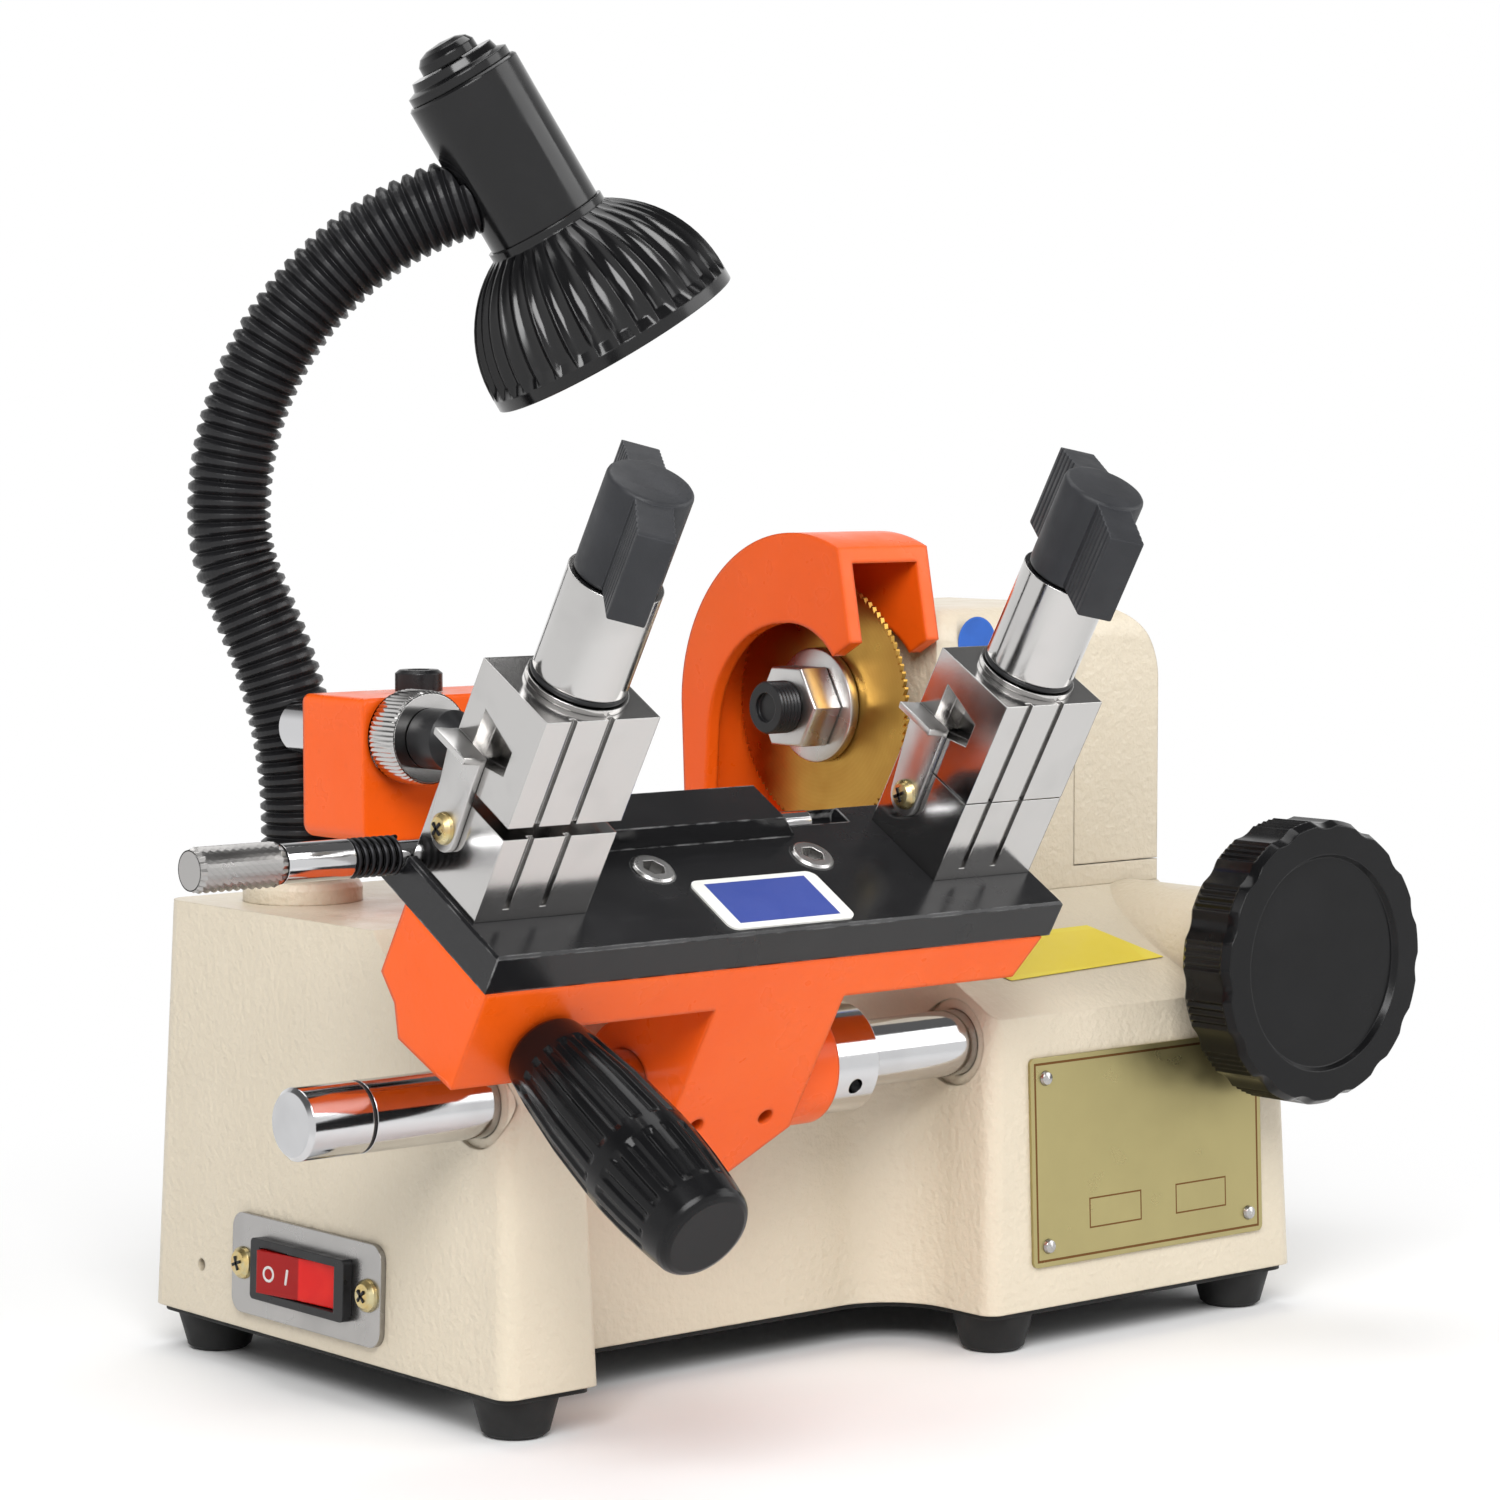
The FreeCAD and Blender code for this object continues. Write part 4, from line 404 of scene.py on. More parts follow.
def framed_print(name, node, colour, ink, fields):
    """A printed plate seen along Y: a thin border line and empty ruled fields."""
    low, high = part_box(node)
    print_ = Finish(name, colour, 0.34, metal=0.85, edge=0.2)
    middle, half = (low + high) / 2, (high - low) / 2
    split = print_.node("SeparateXYZ")
    print_.join(print_.moved(shift=middle), split.inputs["Vector"])

    def frame_line(across, upward, width, height, thick):
        """One on the outline of a rectangle at a place, with half sizes, in metres."""
        dx = print_.maths("ABSOLUTE", print_.maths("SUBTRACT", split.outputs["X"], across))
        dz = print_.maths("ABSOLUTE", print_.maths("SUBTRACT", split.outputs["Z"], upward))
        past_x = print_.maths("SUBTRACT", dx, width)
        past_z = print_.maths("SUBTRACT", dz, height)
        far = print_.maths("MAXIMUM", past_x, past_z)
        return print_.maths("LESS_THAN", print_.maths("ABSOLUTE", far), thick)

    mask = frame_line(0, 0, half.x - 1.5 * MM, half.z - 1.5 * MM, 0.3 * MM)
    for across, upward, width, height in fields:
        field = frame_line(half.x * across, half.z * upward, half.x * width, half.z * height, 0.2 * MM)
        mask = print_.maths("MAXIMUM", mask, field)
    print_.tint(print_.span(print_.noise(25, 4), 0.4, 0.8, 0, 0.5), tuple(c * 0.8 for c in colour))
    print_.tint(mask, ink)
    print_.shine(print_.noise(12, 4), 0.26, 0.42)
    print_.raised(print_.noise(0.5, 3, print_.moved((0.05, 1, 1))), 0.003, 0.3)
    return print_.material


def paper_label(name, colour, ink, box):
    """A plain sticker: a coloured panel inside a rim."""
    low, high = box
    paper = Finish(name, colour, 0.42, coat=0.2, edge=0.1)
    middle, half = (low + high) / 2, (high - low) / 2
    split = paper.node("SeparateXYZ")
    paper.join(paper.moved(shift=middle), split.inputs["Vector"])
    a = paper.maths("DIVIDE", split.outputs["X"], half.x)
    b = paper.maths("DIVIDE", split.outputs["Y"], half.y)
    rim = paper.maths("MAXIMUM", paper.maths("ABSOLUTE", a), paper.maths("ABSOLUTE", b))
    paper.tint(paper.span(paper.noise(10, 4), 0.5, 0.8, 0, 0.2), tuple(c * 0.8 for c in colour))
    paper.tint(paper.maths("LESS_THAN", rim, 0.80), ink)
    paper.shine(paper.noise(6, 3), 0.34, 0.50)
    paper.raised(paper.noise(0.8, 2), 0.01, 0.3)
    return paper.material


def frosted_glass():
    glass = Finish("frosted_bulb", (0.95, 0.92, 0.86), 0.35, coat=0.2)
    glass.shader.inputs["Transmission Weight"].default_value = 0.55
    glass.tint(glass.span(glass.noise(8, 3), 0.45, 0.8, 0, 0.4), (0.85, 0.82, 0.75))
    glass.shine(glass.noise(4, 2), 0.28, 0.45)
    return glass.material


cream = orange_peel_paint("cream_orange_peel", (0.64, 0.565, 0.44), (0.70, 0.62, 0.49), (0.38, 0.32, 0.23),
                          0.34, 0.42)
orange = orange_peel_paint("orange_enamel", (0.84, 0.105, 0.005), (0.88, 0.135, 0.010), (0.42, 0.04, 0.003),
                           0.30, 0.05, specular=0.25, edge=1.6)
black_plate = satin_black_plate()
nickel = bright_metal("bright_nickel", (0.56, 0.55, 0.54), 0.12, grain=(0.06, 1, 1), smudge=0.06)
chrome = bright_metal("mirror_chrome", (0.60, 0.60, 0.61), 0.06, grain=(1, 0.1, 0.1), smudge=0.05)
steel = bright_metal("turned_steel", (0.46, 0.45, 0.44), 0.24, grain=(0.05, 1, 1))
stainless = bright_metal("brushed_stainless", (0.42, 0.41, 0.40), 0.26, grain=(1, 0.03, 1))
bronze = bright_metal("bronze_bush", (0.16, 0.12, 0.08), 0.40)
satin_nickel = bright_metal("satin_nickel", (0.60, 0.59, 0.58), 0.28)
knurl_nickel = bright_metal("knurled_nickel", (0.44, 0.43, 0.42), 0.26)
dark_steel = bright_metal("black_oxide_steel", (0.030, 0.030, 0.032), 0.30)
motor_grey = orange_peel_paint("motor_grey", (0.16, 0.16, 0.17), (0.2, 0.2, 0.21), (0.06, 0.06, 0.06),
                               0.5, 0.1)
gold = cutter_coating()
brass = zinc_yellow()
gloss = gloss_black("gloss_black")
lamp_black = gloss_black("lamp_black_enamel", 0.12, specular=0.4)
satin = moulded_plastic("satin_black", (0.010, 0.010, 0.011), 0.34, 0.03)
knob_grey = moulded_plastic("dark_grey_moulding", (0.022, 0.023, 0.026), 0.46, 0.05)
rubber = moulded_plastic("black_rubber", (0.013, 0.013, 0.013), 0.62, 0.06)
red = red_lens()
plate_gold = framed_print("gold_print", "nameplate", (0.42, 0.36, 0.165), (0.16, 0.07, 0.02),
                          ((-0.30, -0.55, 0.22, 0.14), (0.45, -0.55, 0.22, 0.14)))
label_print = paper_label("blue_label", (0.80, 0.80, 0.76), (0.03, 0.06, 0.30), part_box("plate_label"))
bulb_glass = frosted_glass()

DRESS = (
    (cream, ("base_casting", "spindle_head", "belt_cover", "shaft_bushes", "lamp_foot")),
    (orange, ("hood", "carriage_casting", "tracer_bracket")),
    (black_plate, ("carriage_plate",)),
    (steel, ("pinion_shaft", "spindle_bearings", "spindle_pulley",
             "motor_rotor", "clamp_studs", "handle_stud", "nameplate_rivets")),
    (satin_nickel, ("plate_screws", "cutter_washer", "cutter_nut")),
    (dark_steel, ("spindle", "gauge_spring", "hub_screws")),
    (rubber, ("feet", "drive_belt", "bottom_plate")),
    (bronze, ("wheel_bush",)),
    (plate_gold, ("nameplate",)),
    (brass, ("switch_screws", "strap_screws")),
    (stainless, ("switch_plate",)),
    (satin, ("switch_bezel", "stylus", "tracer_lock", "gooseneck")),
    (red, ("switch_rocker",)),
    (chrome, ("slide_shaft", "stop_collar", "tracer_rod", "gauge_rod")),
    (gold, ("cutter",)),
    (motor_grey, ("motor",)),
    (nickel, ("left_lower_jaw", "right_lower_jaw", "left_upper_jaw", "right_upper_jaw", "guide_straps",
              "left_knob_sleeve", "right_knob_sleeve", "gauge_knob", "tracer_ring")),
    (gloss, ("handwheel", "handle_grip")),
    (lamp_black, ("lamp_socket", "lamp_shade", "lamp_cap", "lamp_switch")),
    (knob_grey, ("left_knob", "right_knob")),
    (label_print, ("plate_label",)),
    (bulb_glass, ("lamp_bulb",)),
)
for material, names in DRESS:
    for name in names:
        nodes[name].data.materials.clear()
        nodes[name].data.materials.append(material)


# Lamp neck

def neck_walk(kind, size, turn, place, heading):
    """End and heading of one run in the lamp's plane, with the length of its curve handles."""
    h = math.radians(heading)
    if kind == "line":
        return (place[0] + size * math.sin(h), place[1] + size * math.cos(h)), heading, size / 3
    side = math.copysign(1.0, turn)
    centre = (place[0] + side * size * math.cos(h), place[1] - side * size * math.sin(h))
    end = math.radians(heading + turn)
    reach = 4 / 3 * math.tan(math.radians(abs(turn)) / 4) * size
    place = (centre[0] - side * size * math.cos(end), centre[1] + side * size * math.sin(end))
    return place, heading + turn, reach


def neck_point(place):
    low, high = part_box("lamp_foot")
    across = Vector((math.cos(NECK_TURN), math.sin(NECK_TURN), 0))
    foot = Vector(((low.x + high.x) / 2, (low.y + high.y) / 2, low.z))
    return foot + across * place[0] * MM + Vector((0, 0, place[1] * MM))


def neck_way(heading):
    h = math.radians(heading)
    return Vector((math.cos(NECK_TURN) * math.sin(h), math.sin(NECK_TURN) * math.sin(h), math.cos(h)))


def neck_route():
    """The neck's centre line as a bezier curve of its own runs, with its length."""
    place, heading = (0.0, NECK_FOOT), 0.0
    stops = [[place, heading, 0.0, 0.0]]
    length = 0.0
    for kind, size, turn in NECK_RUNS:
        place, heading, reach = neck_walk(kind, size, turn, place, heading)
        stops[-1][3] = reach
        stops.append([place, heading, reach, 0.0])
        length += size if kind == "line" else size * math.radians(abs(turn))
    bpy.ops.object.select_all(action="DESELECT")
    bpy.ops.curve.primitive_bezier_curve_add()
    route = added("neck_route")
    spline = route.data.splines[0]
    spline.bezier_points.add(len(stops) - 2)
    route.data.resolution_u = 40
    for point, (place, heading, before, after) in zip(spline.bezier_points, stops):
        point.handle_left_type = point.handle_right_type = "FREE"
        point.co = neck_point(place)
        point.handle_left = point.co - neck_way(heading) * before * MM
        point.handle_right = point.co + neck_way(heading) * after * MM
    return route, length * MM


def ribbed_neck():
    """One rounded rib, repeated along the neck and bent to its route."""
    route, length = neck_route()
    pitch = length / NECK_RIBS
    bpy.ops.object.select_all(action="DESELECT")
    bpy.ops.mesh.primitive_cylinder_add(vertices=40, radius=NECK_VALLEY, depth=pitch, end_fill_type="NOTHING",
                                        location=(0, 0, pitch / 2))
    neck = added("ribbed_neck")
    bpy.ops.object.transform_apply(location=True)
    editing(neck)
    bpy.ops.mesh.select_all(action="SELECT")
    bpy.ops.mesh.subdivide(number_cuts=5)
    bpy.ops.object.mode_set(mode="OBJECT")
    editing(neck)
    swell = NECK_RADIUS / NECK_VALLEY
    for share, part in ((1 / 6, 0.55), (2 / 6, 1.0), (3 / 6, 1.0), (4 / 6, 1.0), (5 / 6, 0.55)):
        choose(neck, "verts", lambda co: abs(co.z - share * pitch) < 0.02 * pitch)
        grow = 1 + (swell - 1) * part
        bpy.ops.transform.resize(value=(grow, grow, 1), center_override=(0, 0, 0))
    done(neck)
    applied(neck, "ARRAY", count=NECK_RIBS, use_relative_offset=False, use_constant_offset=True,
            constant_offset_displace=(0, 0, pitch), use_merge_vertices=True, merge_threshold=0.02 * MM)
    applied(neck, "CURVE", object=route, deform_axis="POS_Z")
    editing(neck)
    bpy.ops.mesh.select_all(action="DESELECT")
    bpy.ops.mesh.select_mode(type="EDGE")
    bpy.ops.mesh.select_non_manifold()
    bpy.ops.mesh.fill()
    bpy.ops.mesh.select_all(action="SELECT")
    bpy.ops.mesh.normals_make_consistent(inside=False)
    done(neck)
    bpy.data.objects.remove(route)
    # Its upper end sits saddled on the socket
    bpy.ops.object.select_all(action="DESELECT")
    bpy.ops.mesh.primitive_cylinder_add(vertices=96, radius=SOCKET_RADIUS + 0.3 * MM, depth=80 * MM)
    saddle = added("neck_saddle")
    turned_to(saddle, lamp_meet, lamp_down)
    applied(neck, "BOOLEAN", operation="DIFFERENCE", object=saddle, solver="EXACT")
    bpy.data.objects.remove(saddle)
    alone(neck)
    bpy.ops.object.shade_smooth_by_angle(angle=math.radians(50))
    neck.data.materials.clear()
    neck.data.materials.append(satin)
    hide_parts("gooseneck")
    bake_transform(neck)
    return neck


# Gauge spring

def coil_spring():
    """A wire circle screwed along the gauge rod."""
    low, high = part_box("gauge_spring")
    centre = (low + high) / 2
    wire = 0.6 * MM
    turns = 7
    coil = (high.z - low.z) / 2 - 0.55 * MM
    run = high.x - low.x - 2 * wire
    bpy.ops.object.select_all(action="DESELECT")
    bpy.ops.mesh.primitive_circle_add(vertices=10, radius=wire, rotation=(math.pi / 2, 0, 0),
                                      location=(0, 0, coil))
    spring = added("gauge_coil")
    bpy.ops.object.transform_apply(location=True, rotation=True)
    applied(spring, "SCREW", axis="X", angle=2 * math.pi * turns, screw_offset=run, steps=24 * turns,
            render_steps=24 * turns, use_merge_vertices=False)
    editing(spring)
    bpy.ops.mesh.select_all(action="DESELECT")
    bpy.ops.mesh.select_mode(type="EDGE")
    bpy.ops.mesh.select_non_manifold()
    bpy.ops.mesh.fill()
    bpy.ops.mesh.select_all(action="SELECT")
    bpy.ops.mesh.normals_make_consistent(inside=False)
    done(spring)
    spring.location = (low.x + wire, centre.y, centre.z)
    settled(spring, "carriage", dark_steel, 60)
    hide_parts("gauge_spring")
    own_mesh(spring)
    return spring


# Knurled pieces

def knurled(name, node, axis, teeth, depth, shoulder, body, material, rows=0):
    """A turned piece with plain chamfered ends whose middle has straight teeth, or diamonds in rows."""
    low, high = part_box(node)
    centre = (low + high) / 2
    along = "XYZ".index(axis)
    length = high[along] - low[along]
    radius = (high[(along + 1) % 3] - low[(along + 1) % 3]) / 2
    bpy.ops.object.select_all(action="DESELECT")
    bpy.ops.mesh.primitive_cylinder_add(vertices=teeth * 2, radius=radius, depth=length, end_fill_type="NGON")
    piece = added(name)
    editing(piece)
    tall = length - 2 * shoulder
    for level in range(rows + 2):
        height = -tall / 2 + tall * level / (rows + 1)
        bpy.ops.mesh.select_all(action="SELECT")
        bpy.ops.mesh.bisect(plane_co=(0, 0, height), plane_no=(0, 0, 1))
    step = math.pi / teeth
    inner = length / 2 - shoulder + 0.05 * MM

    def groove(co):
        turn = round(math.atan2(co.y, co.x) / step)
        level = round((co.z + tall / 2) / tall * (rows + 1)) if rows else 0
        return (turn + level) % 2 == 0 and abs(co.z) < inner

    choose(piece, "verts", groove)
    sunk = 1 - depth / radius
    bpy.ops.transform.resize(value=(sunk, sunk, 1), center_override=(0, 0, 0))
    choose(piece, "faces", lambda c, n: abs(n.z) > 0.9 and abs(c.z) > length / 2 - 0.01 * MM)
    bpy.ops.mesh.inset(thickness=shoulder * 0.35)
    choose(piece, "verts", lambda co: abs(abs(co.z) - length / 2) < 0.01 * MM
           and co.xy.length > radius - 0.01 * MM)
    chamfer = 1 - 0.5 * shoulder / radius
    bpy.ops.transform.resize(value=(chamfer, chamfer, 1), center_override=(0, 0, 0))
    done(piece)
    direction = Vector((0, 0, 0))
    direction[along] = 1
    turned_to(piece, centre, direction)
    settled(piece, body, material, 8 if rows else 25)
    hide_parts(node)
    return piece


# Clamp knobs

def on_clamp(node, joint):
    """A point on the clamp's axis, and the lowest height of a node above it."""
    middle = Vector(joints[joint]["pos_m"])
    return middle, min((v.co - middle).dot(plate_up) for v in nodes[node].data.vertices)


def winged_knob(name, node, joint, body, turn):
    """A short barrel between two flat wings whose sides have grooves and whose tops fall away."""
    bpy.ops.object.select_all(action="DESELECT")
    bpy.ops.mesh.primitive_cube_add(size=1)
    knob = added(name)
    knob.scale = (2 * WING_REACH, WING_THICK, WING_HIGH)
    knob.location = (0, 0, WING_LOW + WING_HIGH / 2)
    bpy.ops.object.transform_apply(location=True, scale=True)
    editing(knob)
    choose(knob, "faces", lambda c, n: n.z > 0.9)
    crown = BARREL_HIGH - WING_LOW - WING_HIGH
    bpy.ops.mesh.extrude_region_move(TRANSFORM_OT_translate={"value": (0, 0, crown)})
    bpy.ops.transform.resize(value=(0.14, 1, 1), center_override=(0, 0, 0))
    done(knob)
    applied(knob, "BEVEL", width=0.5 * MM, segments=2, limit_method="ANGLE")
    editing(knob)
    grooves = [BARREL_RADIUS + (1.6 + 2.1 * i) * MM for i in range(5)]
    for groove in grooves:
        for x in (groove - 0.5 * MM, groove, groove + 0.5 * MM):
            for side in (-x, x):
                bpy.ops.mesh.select_all(action="SELECT")
                bpy.ops.mesh.bisect(plane_co=(side, 0, 0), plane_no=(1, 0, 0))
    choose(knob, "verts", lambda co: min(abs(abs(co.x) - g) for g in grooves) < 0.02 * MM
           and abs(co.y) > WING_THICK / 2 - 0.05 * MM)
    bpy.ops.transform.resize(value=(1, 1 - 1.0 * MM / WING_THICK, 1), center_override=(0, 0, 0))
    done(knob)
    bpy.ops.object.select_all(action="DESELECT")
    bpy.ops.mesh.primitive_cylinder_add(vertices=64, radius=BARREL_RADIUS, depth=BARREL_HIGH,
                                        location=(0, 0, BARREL_HIGH / 2))
    barrel = added(name + "_barrel")
    bpy.ops.object.transform_apply(location=True)
    applied(barrel, "BEVEL", width=1.1 * MM, segments=3, limit_method="ANGLE")
    applied(knob, "BOOLEAN", operation="UNION", object=barrel, solver="EXACT")
    bpy.data.objects.remove(barrel)
    middle, low = on_clamp(node, joint)
    wing = Vector((1, 0, 0)) * math.cos(turn) + plate_back * math.sin(turn)
    knob.rotation_mode = "QUATERNION"
    knob.rotation_quaternion = Matrix((wing, plate_up.cross(wing), plate_up)).transposed().to_quaternion()
    knob.location = middle + plate_up * (low + KNOB_SKIRT)
    settled(knob, body, knob_grey, 30)
    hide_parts(node)
    return knob


def sleeve_ring(name, node, joint, body):
    """The black ring in the groove at the sleeve's foot."""
    bpy.ops.object.select_all(action="DESELECT")
    bpy.ops.mesh.primitive_torus_add(major_segments=64, minor_segments=12, major_radius=SLEEVE_RING[0],
                                     minor_radius=SLEEVE_RING[1])
    ring = added(name)
    middle, low = on_clamp(node, joint)
    turned_to(ring, middle + plate_up * (low + 2.2 * MM), plate_up)
    return settled(ring, body, satin, 60)


# Screw heads and the spindle's end

def screw_tops(node, split):
    """Tops of a node's two pan heads, which face left and stand apart along an axis."""
    low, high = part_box(node)
    middle = (low + high) / 2
    places = [v.co for v in nodes[node].data.vertices]
    halves = [[co for co in places if (co[split] - middle[split]) * side > 0] for side in (-1, 1)]
    return [min(half, key=lambda co: co.x).copy() for half in halves]


def screw_crosses(name, node, split, body):
    """A dark cross on each pan head where its recess is: the cross's darkness is painted shade in the recess.
    """
    for number, top in enumerate(screw_tops(node, split), 1):
        bpy.ops.object.select_all(action="DESELECT")
        bpy.ops.mesh.primitive_cube_add(size=1)
        cross = added(f"{name}_{number}")
        cross.scale = (0.5 * MM, 3.4 * MM, 0.7 * MM)
        bpy.ops.object.transform_apply(scale=True)
        editing(cross)
        bpy.ops.mesh.select_all(action="SELECT")
        bpy.ops.mesh.duplicate()
        bpy.ops.transform.rotate(value=math.pi / 2, orient_axis="X", center_override=(0, 0, 0))
        done(cross)
        cross.rotation_euler = (math.radians(20 + 25 * number), 0, 0)
        cross.location = (top.x + 0.18 * MM, top.y, top.z)
        settled(cross, body, dark_steel)


def clamp_straps():
    """Each clamp's strap: a tapering plate with a round foot under its screw and its top folded outward."""
    straps = []
    for number, screw in enumerate(screw_tops("strap_screws", 0), 1):
        bpy.ops.object.select_all(action="DESELECT")
        bpy.ops.mesh.primitive_cube_add(size=1)
        strap = added(f"clamp_strap_{number}")
        strap.scale = STRAP_SIZE
        strap.location = (3.02 * MM, 0, 7.4 * MM)
        bpy.ops.object.transform_apply(location=True, scale=True)
        editing(strap)
        choose(strap, "verts", lambda co: co.z > 10 * MM)
        bpy.ops.transform.resize(value=(1, 1.4, 1), center_override=(0, 0, 0))
        bpy.ops.transform.translate(value=(0, 2.4 * MM, 0))
        bpy.ops.mesh.select_all(action="SELECT")
        bpy.ops.mesh.bisect(plane_co=(0, 0, STRAP_FOLD), plane_no=(0, 0, 1))
        choose(strap, "faces", lambda c, n: n.x < -0.9 and c.z > STRAP_FOLD)
        bpy.ops.mesh.extrude_region_move(TRANSFORM_OT_translate={"value": (-4.6 * MM, 0, 0.5 * MM)})
        choose(strap, "edges", lambda a, b: max(a.z, b.z) < -5 * MM and abs(a.y - b.y) < 0.01 * MM)
        bpy.ops.mesh.bevel(offset=4.0 * MM, segments=6)
        done(strap)
        applied(strap, "BEVEL", width=0.25 * MM, segments=2, limit_method="ANGLE")
        strap.rotation_mode = "QUATERNION"
        lean = Matrix((Vector((1, 0, 0)), plate_back, plate_up)).transposed()
        strap.rotation_quaternion = lean.to_quaternion()
        strap.location = screw
        straps.append(settled(strap, "carriage", satin_nickel, 30))
    for strap in straps:
        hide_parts("guide_straps")


def spindle_nut():
    """A hex nut with softened corners."""
    low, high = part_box("cutter_nut")
    bpy.ops.object.select_all(action="DESELECT")
    bpy.ops.mesh.primitive_cylinder_add(vertices=6, radius=NUT_RADIUS, depth=high.x - low.x)
    nut = added("spindle_nut")
    applied(nut, "BEVEL", width=0.7 * MM, segments=3, limit_method="ANGLE", angle_limit=math.radians(70))
    turned_to(nut, (low + high) / 2, (-1, 0, 0))
    settled(nut, "spindle", satin_nickel, 30)
    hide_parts("cutter_nut")


def spindle_washer():
    """The broad washer behind the nut."""
    low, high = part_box("cutter_washer")
    bpy.ops.object.select_all(action="DESELECT")
    bpy.ops.mesh.primitive_cylinder_add(vertices=72, radius=WASHER_RADIUS, depth=high.x - low.x)
    washer = added("spindle_washer")
    applied(washer, "BEVEL", width=0.6 * MM, segments=2, limit_method="ANGLE")
    turned_to(washer, (low + high) / 2, (-1, 0, 0))
    settled(washer, "spindle", satin_nickel, 30)
    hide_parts("cutter_washer")


def scalloped_wheel():
    """The handwheel: groups of ribs with shallow hollows between them round the rim, and a dished face."""
    low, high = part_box("handwheel")
    radius = (high.x - low.x) / 2
    half = (high.y - low.y) / 2
    bpy.ops.object.select_all(action="DESELECT")
    bpy.ops.mesh.primitive_cylinder_add(vertices=WHEEL_GROUPS * WHEEL_STEPS, radius=radius, depth=2 * half)
    wheel = added("scalloped_wheel")
    editing(wheel)
    choose(wheel, "faces", lambda c, n: n.z > 0.9)
    bpy.ops.mesh.inset(thickness=radius - WHEEL_DISH)
    bpy.ops.mesh.inset(thickness=0.9 * MM, depth=-1.5 * MM)
    for height in (half - 2.2 * MM, half - 2.6 * MM, -half + 1.4 * MM):
        bpy.ops.mesh.select_all(action="SELECT")
        bpy.ops.mesh.bisect(plane_co=(0, 0, height), plane_no=(0, 0, 1))
    choose(wheel, "verts", lambda co: co.xy.length > radius - 1 * MM and abs(co.z) > half - 0.1 * MM)
    bpy.ops.transform.resize(value=(0.965, 0.965, 1), center_override=(0, 0, 0))
    step = 2 * math.pi / (WHEEL_GROUPS * WHEEL_STEPS)
    hollow = (0.35, 0.7, 0.95, 1.0, 0.95, 0.7, 0.35)
    for place in range(WHEEL_STEPS):
        ribbed = place < WHEEL_RIBBED
        share = (place % 2) * WHEEL_NOTCH if ribbed else hollow[place - WHEEL_RIBBED] * WHEEL_HOLLOW
        if share:
            choose(wheel, "verts", lambda co: co.xy.length > 30 * MM
                   and round(math.atan2(co.y, co.x) / step) % WHEEL_STEPS == place
                   and (not ribbed or -half + 1 * MM < co.z < half - 2.4 * MM))
            grow = 1 - share / radius
            bpy.ops.transform.resize(value=(grow, grow, 1), center_override=(0, 0, 0))
    done(wheel)
    turned_to(wheel, (low + high) / 2, (0, -1, 0))
    settled(wheel, "wheel", gloss, 30)
    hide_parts("handwheel")


def arc_through(low, middle, high, count):
    """Points of the arc through three places (radius, height)."""
    (ax, ay), (bx, by), (cx, cy) = low, middle, high
    d = 2 * (ax * (by - cy) + bx * (cy - ay) + cx * (ay - by))
    a, b, c = ax * ax + ay * ay, bx * bx + by * by, cx * cx + cy * cy
    ox = (a * (by - cy) + b * (cy - ay) + c * (ay - by)) / d
    oy = (a * (cx - bx) + b * (ax - cx) + c * (bx - ax)) / d
    start, end = math.atan2(ay - oy, ax - ox), math.atan2(cy - oy, cx - ox)
    reach = math.hypot(ax - ox, ay - oy)
    turns = [start + (end - start) * i / count for i in range(count + 1)]
    return [(ox + reach * math.cos(t), oy + reach * math.sin(t)) for t in turns]


def fluted_shade():
    """The lamp's shade: a thin bell with sharp ribs between a collar and a rim."""
    depths = [(v.co - lamp_meet).dot(lamp_down) for v in nodes["lamp_shade"].data.vertices]
    top, mouth = min(depths), max(depths)
    low = (SOCKET_RADIUS + SHADE_STEP, top + SHADE_COLLAR)
    high = (SHADE_RADIUS, mouth - SHADE_RIM)
    middle = (0.3 * low[0] + 0.7 * high[0], low[1] + 0.38 * (high[1] - low[1]))
    levels = [(low[0], top), *arc_through(low, middle, high, 14), (SHADE_RADIUS, mouth)]
    bpy.ops.object.select_all(action="DESELECT")
    bpy.ops.mesh.primitive_circle_add(vertices=SHADE_RIBS * 6, radius=levels[0][0], location=(0, 0, top))
    shade = added("fluted_shade")
    bpy.ops.object.transform_apply(location=True)
    editing(shade)
    bpy.ops.mesh.select_all(action="SELECT")
    for (before, down), (after, deeper) in zip(levels, levels[1:]):
        bpy.ops.mesh.extrude_region_move(TRANSFORM_OT_translate={"value": (0, 0, deeper - down)})
        bpy.ops.transform.resize(value=(after / before, after / before, 1), center_override=(0, 0, deeper))
    step = math.pi / 3 / SHADE_RIBS
    for places, share in (((1, 5), 0.962), ((2, 3, 4), 0.948)):
        choose(shade, "verts", lambda co: round(math.atan2(co.y, co.x) / step) % 6 in places
               and low[1] + 0.5 * MM < co.z < high[1] - 0.2 * MM)
        bpy.ops.transform.resize(value=(share, share, 1), center_override=(0, 0, 0))
    bpy.ops.mesh.select_all(action="SELECT")
    bpy.ops.mesh.normals_make_consistent(inside=False)
    done(shade)
    applied(shade, "SOLIDIFY", thickness=1.1 * MM, offset=-1)
    turned_to(shade, lamp_meet, lamp_down)
    settled(shade, "lamp_head", lamp_black, 28)
    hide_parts("lamp_shade")


def shaft_groove_shade():
    """A dark ring laid in the slide shaft's groove: painted shade for the groove."""
    low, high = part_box("slide_shaft")
    bpy.ops.object.select_all(action="DESELECT")
    bpy.ops.mesh.primitive_torus_add(major_segments=64, minor_segments=10, major_radius=SHAFT_GROOVE_SHADE[0],
                                     minor_radius=SHAFT_GROOVE_SHADE[1])
    ring = added("shaft_groove_shade")
    turned_to(ring, (base_low.x - SHAFT_GROOVE, (low.y + high.y) / 2, (low.z + high.z) / 2), (1, 0, 0))
    return settled(ring, "slider", satin, 60)


